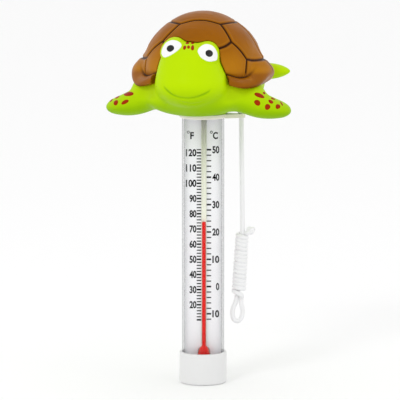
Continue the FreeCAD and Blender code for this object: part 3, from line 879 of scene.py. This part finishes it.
def patch(tree, outline, rise, sink, rings, count, lift=0.0):
    """A domed lens over an outline seen by the camera, laid on the body, in the turtle's frame.

    The tree is the body's. The lens stands out by rise in its middle and dips in by sink below its
    edge, so that it is closed. Where a ray misses the body, the nearest place on it is taken.
    """
    loop = rounded(outline, count, closed=True)
    middle = loop.mean(0)
    points, faces = [], []
    reach = 40.0
    shares = [0.0] + [math.sin(math.pi / 2 * i / rings) for i in range(1, rings + 1)]
    for share in shares:
        ring = middle + (loop - middle) * share if share else middle[None]
        starts, away = seen_line(ring)
        tuck = LENS_TUCK if share == 1 else 0
        height = lift + rise * math.sqrt(max(0.0, 1 - share ** LENS_POWER)) - tuck
        for start, direction in zip(starts, away):
            spot, normal, _, far = tree.ray_cast(Vector(start), Vector(direction))
            if spot is None:
                spot, normal, _, _ = tree.find_nearest(Vector(start + direction * reach))
            elif not points:
                reach = far
            points.append(np.array(spot + normal * height))
    edge = np.array(points[-count:])
    inward = np.mean([tree.find_nearest(Vector(p))[1] for p in edge], axis=0)
    points += [place - inward * sink for place in edge]
    points.append(edge.mean(0) - inward * sink)
    for i in range(count):
        n = (i + 1) % count
        faces.append((0, 1 + i, 1 + n))
        for ring in range(rings):
            a, b = 1 + ring * count, 1 + (ring + 1) * count
            faces.append((a + i, b + i, b + n, a + n))
        faces.append((1 + rings * count + i, len(points) - 1, 1 + rings * count + n))
    return points, faces


def oval(x, z, half_width, half_height, tilt, uneven):
    """A tilted oval's corners, a little uneven."""
    turn = math.radians(tilt)
    corners = []
    for i in range(OVAL_CORNERS):
        angle = 2 * math.pi * i / OVAL_CORNERS
        wobble = 1 + uneven * math.sin(3 * angle + x + z)
        u = half_width * wobble * math.cos(angle)
        v = half_height * wobble * math.sin(angle)
        corners.append((x + u * math.cos(turn) - v * math.sin(turn),
                        z + u * math.sin(turn) + v * math.cos(turn)))
    return corners


body_tree = {}  # The body's surface, for what is laid on it


class TURTLE_OT_body(bpy.types.Operator):
    """Build the green vinyl body with its flippers, fins and face"""

    bl_idname = "thermometer.build_body"
    bl_label = "Turtle body"

    def execute(self, context):
        """Make the body's mesh and its skin."""
        tones = settings().turtle
        lines = face_lines()
        points, faces = field_mesh(lambda p: finished_body(p, lines), *BODY_BOX,
                                   tones.body_grain / MM)
        # The skin's fold mask is painted shade: darker beside the smile and the chin's fold, lower
        # down the body and where the skin faces down
        skin = moulded("vinyl_green", tones.skin, tones.skin_fold, mask="fold", grain=0.25,
                       low=0.36, high=0.5, relief=0.00005, drift=0.05, Specular_IOR_Level=0.04)
        body = new_piece("turtle_skin", to_world(points), faces, skin, "float")
        smile_gap, share = near_line(points, lines["smile"])
        fold = (1 - ease(smile_gap, *SMILE_SHADE)) * (1 - (2 * share - 1) ** 6)
        chin_gap, _ = near_line(points, lines["chin"])
        fold = np.maximum(fold, 0.3 * (1 - ease(chin_gap, *CHIN_SHADE)))
        steep = np.array([normal.vector[2] for normal in body.data.vertex_normals])
        # Painted shade low on the body and on skin that faces down
        under = 0.5 * (1 - ease(points[:, 2], *LOW_SHADE))
        under += 0.25 * (1 - ease(steep, *SLOPE_SHADE))
        set_mask(body, "fold", np.maximum(fold, under))
        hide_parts("turtle_body")
        body_tree["tree"] = BVHTree.FromPolygons([Vector(p) for p in points.tolist()], faces)
        return {"FINISHED"}


class TURTLE_OT_face(bpy.types.Operator):
    """Build the white eyes and black pupils, and lay the painted spots on the body"""

    bl_idname = "thermometer.build_face"
    bl_label = "Eyes and spots"

    def execute(self, context):
        """Make the eyes, the pupils and the spots."""
        tones = settings().turtle
        tree = body_tree["tree"]
        white = moulded("eye_paint", tones.eye, 0.85, grain=0.1, low=0.16, high=0.24,
                        relief=0.00002, drift=0.05, Coat_Weight=0.4, Coat_Roughness=0.08)
        black = moulded("pupil_paint", tones.pupil, (0.004, 0.004, 0.004, 1), grain=0.05, low=0.08,
                        high=0.12, relief=0.00001, drift=0.3, Specular_IOR_Level=0.4)
        red = moulded("spot_paint", tones.spot, 0.6, grain=0.2, low=0.3, high=0.45,
                      relief=0.00003, drift=0.35, wave_scale=420.0, Specular_IOR_Level=0.06)
        for word, outline in EYE_OUTLINES.items():
            points, faces = patch(tree, outline, rise=0.95, sink=1.2, rings=9, count=64)
            eye = new_piece(f"eye_{word}_white", to_world(points), faces, white, "float")
            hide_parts(f"eye_{word}")
            circle = oval(*PUPILS[word], PUPIL_RADIUS, PUPIL_RADIUS, 0, uneven=0)
            points, faces = patch(tree, circle, rise=0.4, sink=1.0, rings=7, count=40,
                                  lift=PUPIL_LIFT)
            pupil = new_piece(f"pupil_{word}_black", to_world(points), faces, black, "float")
            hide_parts(f"pupil_{word}")
        for name, spots in (("spots_face", FACE_SPOTS),
                            ("spots_right_flipper", RIGHT_FLIPPER_SPOTS),
                            ("spots_left_flipper", LEFT_FLIPPER_SPOTS)):
            points, faces = [], []
            for spot in spots:
                found, sides = patch(tree, oval(*spot, uneven=0.05), rise=0.14, sink=0.5, rings=4,
                                     count=28)
                faces += [tuple(i + len(points) for i in face) for face in sides]
                points += found
            new_piece(name, to_world(points), faces, red, "float")
        return {"FINISHED"}


# Shell

DOME_HALF = np.array([35.8, 41.0, 36.6])
DOME_MIDDLE = 184.0
LIP_HALF = (41.6, 47.0, 9.0)
LIP_MIDDLE = 183.0
LIP_DROP = 2.8
LIP_ARCH = 3.8
ARCH_ENDS = (22, 48)
SIDE_RISE = 3.2
SIDE_SWELL = 0.42
SIDE_FILLET = 5.0
# Degrees round from a corner over which the crease fades, and over which the lip grows tall
CREASE_FADE = (50, 72)
SIDE_GROWTH = (50, 88)
RIM_DEPTH = 0.7
RIM_WIDTH = 0.8
HEAD_ROOM = 0.1
LIP_END_ROOM = 2.2
LIP_END = (31, 38)
SHELL_SEAT = 178.6
SHELL_BOX = ((-43, -49, 177.5), (43, 49, 222))
CREASE_FILLET = 0.8
# The scutes: the heights where they, their grooves and the shell's painted shade and highlight
# begin, how far they swell towards their middles, and the bead along their edges
SCUTE_START = (185.0, 189.0)
GROOVE_START = (184.0, 187.0)
PAINTED_LIGHT_START = (185.0, 188.0)
# How far from a groove's line its painted shade fades out
GROOVE_SHADE_FADE = (0.35, 1.0)
# Heights over which the painted highlight low on the scutes fades out upwards
PAINTED_HIGHLIGHT_HEIGHTS = (188, 210)
DOME_INSET = 0.55
SCUTE_RISE = 0.75
SCUTE_SLOPE = 4.5
BEAD_RISE = 0.22
BEAD_PLACE = 1.6
BEAD_WIDTH = 0.6
# Grooves of one side's front half, as degrees round from the turtle's nose and degrees up the dome
FRONT_GROOVES = [
    [(-38, 57.5), (-14, 64), (14, 64), (38, 57.5)],
    [(38, 57.5), (41, 46), (44, 35.5)],
    [(44, 35.5), (34, 31), (20, 28)],
    [(44, 35.5), (53, 27), (61, 17)],
    [(61, 17), (59, 9), (57.5, 1.5)],
    [(61, 17), (72, 15), (90, 13.5)],
    [(38, 57.5), (64, 58.2), (90, 56.5)],
    [(90, 56.5), (90, 35), (90, 13.5)],
    [(20, 28), (0, 27.3), (-20, 28)],
    [(90, 13.5), (90, 2.5)],
]
GROOVE_STEPS = 7
CROWN_TWIST = 7.5


def on_dome(around, up):
    """A point of the dome in the turtle's frame."""
    around = np.radians(around)
    up = np.radians(up)
    unit = np.stack([np.cos(up) * np.sin(around), -np.cos(up) * np.cos(around), np.sin(up)], -1)
    return unit * DOME_HALF + (0, 0, DOME_MIDDLE)


def shell_grooves():
    """Every groove line of the dome, mirrored from side to side and from front to back."""
    lines = []
    for groove in FRONT_GROOVES:
        smooth = rounded([(a, u, 0) for a, u in groove], GROOVE_STEPS * (len(groove) - 1) + 1)
        for rear in (False, True):
            for mirrored in (False, True):
                around = 180 - smooth[:, 0] if rear else smooth[:, 0]
                around = -around if mirrored else around
                lines.append(on_dome(around + CROWN_TWIST * ease(smooth[:, 1], 5, 62),
                                     smooth[:, 1]))
    return lines


def from_nose(points):
    """Degrees from the shell's front to each place, either way round to its back at 180."""
    return np.degrees(np.arctan2(np.abs(points[..., 0]), -points[..., 1]))


def lip_arch(points):
    """How far the lip and the shell's seat rise over the head at each place."""
    return LIP_ARCH * (1 - ease(from_nose(points), *ARCH_ENDS))


def from_corner(points):
    """Degrees from the shell's front or back to each place, as it goes round to a side at 90."""
    around = from_nose(points)
    return np.minimum(around, 180 - around)


def crease_share(points):
    """How sharply dome and lip meet at each place: in a crease, but in a smooth flare at a side."""
    return 1 - ease(from_corner(points), *CREASE_FADE)


def dome_and_lip(points):
    """Distances to the smooth dome and to its lip, which is low at the corners and tall aside."""
    aside = ease(from_corner(points), *SIDE_GROWTH)
    middle = LIP_MIDDLE - LIP_DROP * (1 - aside) + SIDE_RISE * aside + lip_arch(points)
    swept = points.copy()
    swept[..., 2] = LIP_MIDDLE + (points[..., 2] - middle) / (1 + SIDE_SWELL * aside)
    return lump(points, (0, 0, DOME_MIDDLE), DOME_HALF), lump(swept, (0, 0, LIP_MIDDLE), LIP_HALF)


def onto_dome(points):
    """The place on the dome that each point lies over or under."""
    local = points - (0, 0, DOME_MIDDLE)
    return local / np.maximum(row_norm(local / DOME_HALF), 1e-6)[..., None] + (0, 0, DOME_MIDDLE)


def nearest_of(points, lines):
    """Distance to the nearest of several lines."""
    made = np.full(points.shape[:-1], 1e9)
    for line in lines:
        made = np.minimum(made, near_line(points, line)[0])
    return made


def shell_field(points, grooves, depth, width):
    """The domed shell with its lip, grooves and soft scutes, and room for the head."""
    dome, lip = dome_and_lip(points)
    close = dome < 2.5
    gap = np.full(dome.shape, 1e9)
    gap[close] = nearest_of(onto_dome(points[close]), grooves)
    above = ease(points[..., 2], *SCUTE_START)
    raised = above * (SCUTE_RISE * (1 - np.exp(-gap / SCUTE_SLOPE))
                      + BEAD_RISE * np.exp(-((gap - BEAD_PLACE) / BEAD_WIDTH) ** 2))
    cut_in = depth * np.exp(-(gap / (width * 0.5)) ** 2)
    crease = crease_share(points)
    made = merge(dome + DOME_INSET - raised, lip,
                 CREASE_FILLET * crease + SIDE_FILLET * (1 - crease))
    made = made + cut_in * ease(points[..., 2], *GROOVE_START)
    made = made + crease * RIM_DEPTH * np.exp(-((dome - lip) / RIM_WIDTH) ** 2)
    made = np.maximum(made, SHELL_SEAT + lip_arch(points) - points[..., 2])
    room = HEAD_ROOM + LIP_END_ROOM * ease(-points[..., 1], *LIP_END)
    return np.maximum(made, room - head_field(points))


class TURTLE_OT_shell(bpy.types.Operator):
    """Build the brown shell with its scutes, grooves and rolled lip"""

    bl_idname = "thermometer.build_shell"
    bl_label = "Shell"

    def execute(self, context):
        """Make the shell's mesh and its paint."""
        tones = settings().turtle
        grooves = shell_grooves()
        depth, width = tones.groove_depth / MM, tones.groove_width / MM
        points, faces = field_mesh(lambda p: shell_field(p, grooves, depth, width), *SHELL_BOX,
                                   tones.shell_grain / MM)
        # The shell deepens with its groove mask to painted shade: in the grooves, in the crease
        # where dome meets lip and under the lip's edge
        coat, tree, shader, tint = moulded_parts(
            "shell_brown", tones.shell, tones.shell_line, mask="groove", grain=0.35, low=0.3,
            high=0.42, relief=0.00006, drift=0.16, wave_scale=90.0, Specular_IOR_Level=0.07)
        # The painted highlight: a lighter golden brown low on the scutes and along the bead beside
        # each groove
        painted_highlight_colour = mix_colours(tree, mask_of(tree, "painted_highlight"), tint.outputs["Colour"],
                           tuple(tones.shell_gold))
        join(tree, painted_highlight_colour, shader.inputs["Base Color"])
        shell = new_piece("shell_scutes", to_world(points), faces, coat, "float")
        gap = nearest_of(onto_dome(points), grooves)
        on_top = ease(points[:, 2], *PAINTED_LIGHT_START)
        dome, lip = dome_and_lip(points)
        # Painted shade in the crease where the dome meets the lip
        rim_crease_shade = 0.9 * crease_share(points) * (1 - ease(np.abs(dome - lip), 0.3, 1.2))
        groove = np.maximum(on_top * (1 - ease(gap, *GROOVE_SHADE_FADE)), rim_crease_shade)
        # Painted shade under the lip's edge, darker towards the bottom
        under = 0.5 * (1 - ease(points[:, 2], 178.4, 181.0))
        set_mask(shell, "groove", np.maximum(groove, under))
        # Painted highlight: lighter low on the dome and towards each scute's middle, and along the
        # bead
        low_highlight = 0.55 * (1 - ease(points[:, 2], *PAINTED_HIGHLIGHT_HEIGHTS))
        bead = 0.2 * np.exp(-((gap - BEAD_PLACE) / 0.5) ** 2)
        set_mask(shell, "painted_highlight", (on_top * low_highlight * (1 - np.exp(-gap / 3)) + bead) * (1 - groove))
        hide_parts("carapace")
        return {"FINISHED"}


# Scale and glass thermometer

CARD_FRONT = -0.3
STEM_MIDDLE = (0.5, -2.0)
# Each scale: the height of a degree and of zero, the first and last of its ticks and figures, the
# sides of its ticks and the right side of its figures
SCALES = (
    {"unit": 0.90688, "zero": 28.274, "ticks": (10, 122), "figures": (20, 120),
     "sides": (-3.76, -1.04), "figures_end": -3.75},
    {"unit": 1.632384, "zero": 57.294, "ticks": (-12, 50), "figures": (-10, 50),
     "sides": (2.04, 4.76), "figures_end": 9.75},
)
TICK_THICK = 0.66
LONG_TICK_THICK = 1.0
DIGIT_ADVANCE = 2.14
FIGURE_GAP = 0.2
STROKE_SWELL = 0.036
INK_SINK = 0.02
# The letters' left sides and widths, and the middles of their degree signs
LETTERS = (("F", -7.6, 2.4), ("C", 5.75, 3.15))
LETTER_HEIGHT = 4.2
LETTER_MIDDLE = 147.3
DEGREE_MIDDLES = (-8.75, 4.85)
DEGREE_HEIGHT = 149.3
DEGREE_RADIUS = 0.85
DEGREE_WIDTH = 0.38
STEM_RADIUS = 1.6
STEM_TOP = 164.0
BULB_MIDDLE = 15.6
BULB_RADIUS = 3.85
BULB_RISE = 6.95
BULB_FLARE = 0.5
SPIRIT_SKIN = 0.22
ENAMEL_RADII = (1.14, 1.5)
ENAMEL_RANGE = (23.5, 163.0)
COLUMN_RADIUS = 1.08
COLUMN_LOW = 22.6
COLUMN_HIGH = 96.3
COLUMN_RINGS = 75
COLUMN_SIDES = 20
BULB_SIDES = 40


def glyphs(text, height, advance):
    """Points and faces of flat figures with their left foot at the origin, in millimetres."""
    curve = bpy.data.curves.new("figures", "FONT")
    curve.body = text
    curve.resolution_u = 6
    curve.offset = STROKE_SWELL
    points, faces = curve_mesh(curve)
    points = points[:, :2] - points[:, :2].min(0)
    points *= (advance * len(text) - FIGURE_GAP, height) / points.max(0)
    return points, faces


def ring_flat(radius, width, count=20):
    """Points and faces of a flat ring about the origin, in millimetres."""
    turn = np.linspace(0, 2 * np.pi, count, endpoint=False)
    unit = np.stack([np.cos(turn), np.sin(turn)], -1)
    points = np.concatenate([unit * radius, unit * (radius - width)])
    return points, ring_sides(0, count, count)


def thick_figures(mesh, points, faces, x, z, front, back):
    """Add flat figures to a bmesh as thin solid ink on the card."""
    fronts = [mesh.verts.new(((x + u) * MM, front * MM, (z + v) * MM)) for u, v in points]
    backs = [mesh.verts.new(((x + u) * MM, back * MM, (z + v) * MM)) for u, v in points]
    edges = {}
    for face in faces:
        mesh.faces.new([fronts[i] for i in face])
        mesh.faces.new([backs[i] for i in reversed(face)])
        for a, b in zip(face, face[1:] + face[:1]):
            edges[(a, b)] = edges.get((a, b), 0) + 1
    for a, b in edges:
        if (b, a) not in edges:
            mesh.faces.new([fronts[b], fronts[a], backs[a], backs[b]])


def scale_height(scale, degrees):
    """Height of a temperature on a scale."""
    return scale["zero"] + scale["unit"] * degrees


class SCALE_OT_print(bpy.types.Operator):
    """Print the two scales with their figures on the card"""

    bl_idname = "thermometer.build_print"
    bl_label = "Printed scale"

    def execute(self, context):
        """Make the ink's mesh."""
        tones = settings().tube
        tall = tones.digit_height / MM
        back = CARD_FRONT + INK_SINK
        front = CARD_FRONT - tones.ink_thickness / MM
        ink = bmesh.new()

        def figures(text, x, middle, height, advance):
            points, faces = glyphs(text, height, advance)
            thick_figures(ink, points, faces, x, middle - height / 2, front, back)

        for scale in SCALES:
            left, right = scale["sides"]
            for degrees in range(scale["ticks"][0], scale["ticks"][1] + 1, 2):
                middle = scale_height(scale, degrees)
                thick = TICK_THICK if degrees % 10 else LONG_TICK_THICK
                box_mesh(ink, (left, front, middle - thick / 2), (right, back, middle + thick / 2))
        for scale in SCALES:
            for degrees in range(scale["figures"][0], scale["figures"][1] + 1, 10):
                text = str(abs(degrees))
                figures(text, scale["figures_end"] - DIGIT_ADVANCE * len(text),
                        scale_height(scale, degrees), tall, DIGIT_ADVANCE)
        for letter, x, advance in LETTERS:
            figures(letter, x, LETTER_MIDDLE, LETTER_HEIGHT, advance)
        for x in DEGREE_MIDDLES:
            points, faces = ring_flat(DEGREE_RADIUS, DEGREE_WIDTH)
            thick_figures(ink, points, faces, x, DEGREE_HEIGHT, front, back)
        bmesh.ops.recalc_face_normals(ink, faces=ink.faces)
        mesh = bpy.data.meshes.new("scale_print")
        ink.to_mesh(mesh)
        ink.free()
        piece = bpy.data.objects.new("scale_print", mesh)
        context.scene.collection.objects.link(piece)
        mesh.materials.append(moulded("ink_black", tones.ink, 1.8, grain=0.5, low=0.45, high=0.6,
                                      relief=0.00001, drift=0.5, wave_scale=900.0,
                                      Specular_IOR_Level=0.05))
        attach(piece, "float")
        return {"FINISHED"}


def clear_material(name, tone, face_on, edge_on, roughness, ior, power):
    """A thin clear plastic: nearly unseen face on, and greyer where it is seen edge on."""
    made, tree, shader = new_material(name)
    shader.inputs["Base Color"].default_value = tuple(tone)
    shader.inputs["IOR"].default_value = ior
    surface = place_group(tree, group("moulded_grain", moulded_grain_group), Grain=0.1,
                          Wave_Scale=30.0, Gloss_Low=roughness, Gloss_High=roughness + 0.05)
    join(tree, surface.outputs["Roughness"], shader.inputs["Roughness"])
    bump(tree, surface.outputs["Height"], 0.2, 0.00002, shader)
    edge = add(tree, "ShaderNodeLayerWeight")
    edge.inputs["Blend"].default_value = 0.5
    steep = math_node(tree, "POWER", edge.outputs["Facing"], power)
    join(tree, spread(tree, steep, 0.0, 1.0, face_on, edge_on), shader.inputs["Alpha"])
    return made


def turned_profile(profile, middle, sides):
    """Points and faces of a solid turned about an upright line from a radius and height outline."""
    points, faces, rings = [], [], []
    for radius, z in profile:
        if radius == 0:
            rings.append([len(points)])
            points.append((*middle, z))
            continue
        rings.append(list(range(len(points), len(points) + sides)))
        for k in range(sides):
            turn = 2 * math.pi * k / sides
            points.append((middle[0] + radius * math.cos(turn),
                           middle[1] + radius * math.sin(turn), z))
    for low, high in zip(rings, rings[1:]):
        for k in range(sides):
            n = (k + 1) % sides
            if len(low) == 1:
                faces.append((low[0], high[n], high[k]))
            elif len(high) == 1:
                faces.append((low[k], low[n], high[0]))
            else:
                faces.append((low[k], low[n], high[n], high[k]))
    return points, faces


def bulb_outline(skin, neck, top):
    """Radius and height outline of the bulb, set in by a skin, that flares down from a neck."""
    half, width = BULB_RISE - skin, BULB_RADIUS - skin
    outline = [(0.0, BULB_MIDDLE - half)]
    outline += [(width * math.sqrt(1 - t * t), BULB_MIDDLE + half * t)
                for t in np.linspace(-0.98, 0, 14)]
    for z in np.linspace(BULB_MIDDLE + 0.5, BULB_MIDDLE + half + 1.5, 18):
        swell = width * math.sqrt(max(0.0, 1 - ((z - BULB_MIDDLE) / half) ** 2))
        outline.append((0.5 * (swell + neck + math.hypot(swell - neck, BULB_FLARE)), z))
    return outline + [(neck, BULB_MIDDLE + half + 2.0), (neck, top), (0.0, top)]


def enamel_back():
    """Points and faces of the enamel that lines the back of the stem, in world millimetres."""
    turn = np.linspace(0, math.pi, 15)
    arc = np.stack([np.cos(turn), np.sin(turn)], -1)
    loop = np.concatenate([arc * ENAMEL_RADII[1], arc[::-1] * ENAMEL_RADII[0]]) + STEM_MIDDLE
    count = len(loop)
    points = [(x, y, z) for z in ENAMEL_RANGE for x, y in loop]
    faces = ring_sides(0, count, count)
    half = count // 2
    for k in range(half - 1):
        a, b, c, d = k, k + 1, count - 2 - k, count - 1 - k
        faces.append((d, c, b, a))
        faces.append((a + count, b + count, c + count, d + count))
    return points, faces


class SPIRIT_OT_build(bpy.types.Operator):
    """Build the stem with its bulb and enamel back, and the red spirit in the bulb and up the stem
    """

    bl_idname = "thermometer.build_spirit"
    bl_label = "Spirit column"

    def execute(self, context):
        """Make the glass, the enamel, the bulb's spirit and the column with its curved top."""
        tones = settings().tube
        red = moulded("spirit_red", tones.spirit, 0.75, grain=0.1, low=0.3, high=0.4,
                      relief=0.00001, drift=0.12, wave_scale=120.0, Specular_IOR_Level=0.08)
        profile = [(0.0, COLUMN_LOW), (COLUMN_RADIUS, COLUMN_LOW)]
        profile += [(COLUMN_RADIUS, z)
                    for z in np.linspace(COLUMN_LOW, COLUMN_HIGH - 0.4, COLUMN_RINGS)[1:]]
        profile += [(COLUMN_RADIUS * 0.86, COLUMN_HIGH - 0.12), (COLUMN_RADIUS * 0.5, COLUMN_HIGH),
                    (0.0, COLUMN_HIGH + 0.05)]
        points, faces = turned_profile(profile, STEM_MIDDLE, COLUMN_SIDES)
        column = new_piece("spirit_thread", points, faces, red, None)
        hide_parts("spirit_column")
        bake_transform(column)
        points, faces = turned_profile(bulb_outline(SPIRIT_SKIN, COLUMN_RADIUS, COLUMN_LOW + 2),
                                       STEM_MIDDLE, BULB_SIDES)
        charge = new_piece("bulb_charge", points, faces, red, "float")
        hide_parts("bulb_spirit")
        glass = clear_material("stem_glass", tones.glass, face_on=0.02, edge_on=0.4,
                               roughness=0.03, ior=1.47, power=2.0)
        points, faces = turned_profile(bulb_outline(0, STEM_RADIUS, STEM_TOP), STEM_MIDDLE,
                                       BULB_SIDES)
        stem = new_piece("stem_and_bulb", points, faces, glass, "float")
        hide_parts("glass_stem")
        enamel = moulded("stem_enamel", tones.enamel, 0.9, grain=0.1, low=0.2, high=0.3,
                         relief=0.00001, drift=0.1)
        points, faces = enamel_back()
        new_piece("stem_enamel_back", points, faces, enamel, "float")
        return {"FINISHED"}


# Tube and fittings


class FITTINGS_OT_finish(bpy.types.Operator):
    """Finish the tube, the end cap, the collar, the card, the plugs, the seals and the ballast"""

    bl_idname = "thermometer.finish_fittings"
    bl_label = "Tube and fittings"

    def execute(self, context):
        """Give each of the tube's own parts its material."""
        tones = settings().tube
        paint("outer_tube", clear_material("clear_plastic", tones.clear, face_on=0.016,
                                           edge_on=0.95, roughness=0.06, ior=1.49, power=2.7))
        paint("bottom_cap", moulded("cap_white", tones.cap, 0.9, grain=0.3, low=0.32, high=0.46,
                                    relief=0.00003, drift=0.1))
        paint("collar", moulded("collar_white", tones.collar, 0.9, grain=0.3, low=0.3, high=0.42,
                                relief=0.00003, drift=0.1))
        paint("scale_card", moulded("card_plastic", tones.card, 0.94, grain=0.3, low=0.5, high=0.6,
                                    relief=0.00001, drift=0.2))
        grey = moulded("rubber_grey", linear(150, 150, 150), linear(96, 96, 96), grain=0.6,
                       low=0.6, high=0.8, relief=0.00004, drift=0.3)
        pale = moulded("rubber_pale", linear(206, 206, 204), linear(180, 180, 178), grain=0.6,
                       low=0.5, high=0.7, relief=0.00004, drift=0.3)
        for node_name, rubber in (("bottom_plug", grey), ("top_plug", grey), ("cap_seal", pale),
                                  ("collar_seal", pale)):
            paint(node_name, rubber)
        paint("ballast_slug", moulded("steel_turned", linear(170, 172, 176), linear(120, 122, 126),
                                      grain=0.5, low=0.25, high=0.4, relief=0.00003, drift=0.4,
                                      Metallic=1.0))
        return {"FINISHED"}


# Stage


def lamp(name, power, size, place, aim):
    """A square area light that points at a place, in metres."""
    data = bpy.data.lights.new(name, "AREA")
    data.energy = power
    data.size = size
    made = bpy.data.objects.new(name, data)
    bpy.context.scene.collection.objects.link(made)
    made.location = place
    made.rotation_euler = (Vector(aim) - Vector(place)).to_track_quat("-Z", "Y").to_euler()


class STAGE_OT_build(bpy.types.Operator):
    """Set up the camera, the pale floor and the soft studio lights"""

    bl_idname = "thermometer.build_stage"
    bl_label = "Camera, floor and lights"

    def execute(self, context):
        """Make the stage."""
        choice = settings().stage
        data = bpy.data.cameras.new("camera")
        data.lens = CAMERA_LENS
        data.shift_x = CAMERA_SHIFT
        data.clip_end = 50
        camera = bpy.data.objects.new("camera", data)
        context.scene.collection.objects.link(camera)
        camera.location = CAMERA_PLACE
        camera.rotation_euler = (math.radians(90 - CAMERA_PITCH), 0, 0)
        context.scene.camera = camera
        context.scene.view_settings.view_transform = "Standard"

        half = choice.floor_size / 2
        mesh = bpy.data.meshes.new("floor")
        mesh.from_pydata([(-half, -half, 0), (half, -half, 0), (half, half, 0), (-half, half, 0)],
                         [], [(0, 1, 2, 3)])
        floor = bpy.data.objects.new("floor", mesh)
        context.scene.collection.objects.link(floor)
        mesh.materials.append(moulded("floor_pale", choice.floor, 0.98, grain=0.1, low=0.7,
                                      high=0.8, relief=0.00001, drift=0.05, grain_scale=40.0,
                                      wave_scale=2.0, Specular_IOR_Level=0.1))

        world = bpy.data.worlds.new("studio")
        context.scene.world = world
        world.use_nodes = True
        glow = world.node_tree.nodes["Background"]
        glow.inputs["Color"].default_value = (1, 1, 1, 1)
        glow.inputs["Strength"].default_value = choice.world_light
        for name, power, size, place, height in (
                ("key", choice.key_light, 0.35, (-0.7, -1.2, 1.1), 0.15),
                ("fill", choice.fill_light, 0.8, (1.2, -0.8, 0.7), 0.12)):
            lamp(name, power, size, place, (0, 0, height))
        return {"FINISHED"}


class THERMOMETER_PT_pieces(bpy.types.Panel):
    """Lists the thermometer's pieces, which can each be built, and its settings"""

    bl_idname = "THERMOMETER_PT_pieces"
    bl_label = "Pool thermometer"
    bl_space_type = "VIEW_3D"
    bl_region_type = "UI"
    bl_category = "Thermometer"

    def draw(self, context):
        """Draw the buttons and the settings."""
        for build in OPERATORS:
            self.layout.operator(build.bl_idname)
        chosen = context.scene.pool_thermometer
        for part in (chosen.turtle, chosen.tube, chosen.tether, chosen.stage):
            box = self.layout.box()
            for key in part.bl_rna.properties.keys():
                if key not in ("rna_type", "name"):
                    box.prop(part, key)


SETTINGS = (TurtleSettings, TubeSettings, TetherSettings, StageSettings, ThermometerSettings)
OPERATORS = (STAGE_OT_build, TETHER_OT_build, TURTLE_OT_body, TURTLE_OT_face, TURTLE_OT_shell,
             SCALE_OT_print, SPIRIT_OT_build, FITTINGS_OT_finish)
CLASSES = (*SETTINGS, *OPERATORS, THERMOMETER_PT_pieces)


def register():
    """Register the add-on's classes and its settings."""
    for made in CLASSES:
        bpy.utils.register_class(made)
    bpy.types.Scene.pool_thermometer = bpy.props.PointerProperty(type=ThermometerSettings)


def unregister():
    """Take the add-on's settings and classes away."""
    del bpy.types.Scene.pool_thermometer
    for made in reversed(CLASSES):
        bpy.utils.unregister_class(made)


def main():
    """Build every piece in order."""
    register()
    bpy.ops.thermometer.build_stage()
    bpy.ops.thermometer.build_tether()
    bpy.ops.thermometer.build_body()
    bpy.ops.thermometer.build_face()
    bpy.ops.thermometer.build_shell()
    bpy.ops.thermometer.build_print()
    bpy.ops.thermometer.build_spirit()
    bpy.ops.thermometer.finish_fittings()


if __name__ == "__main__":
    main()
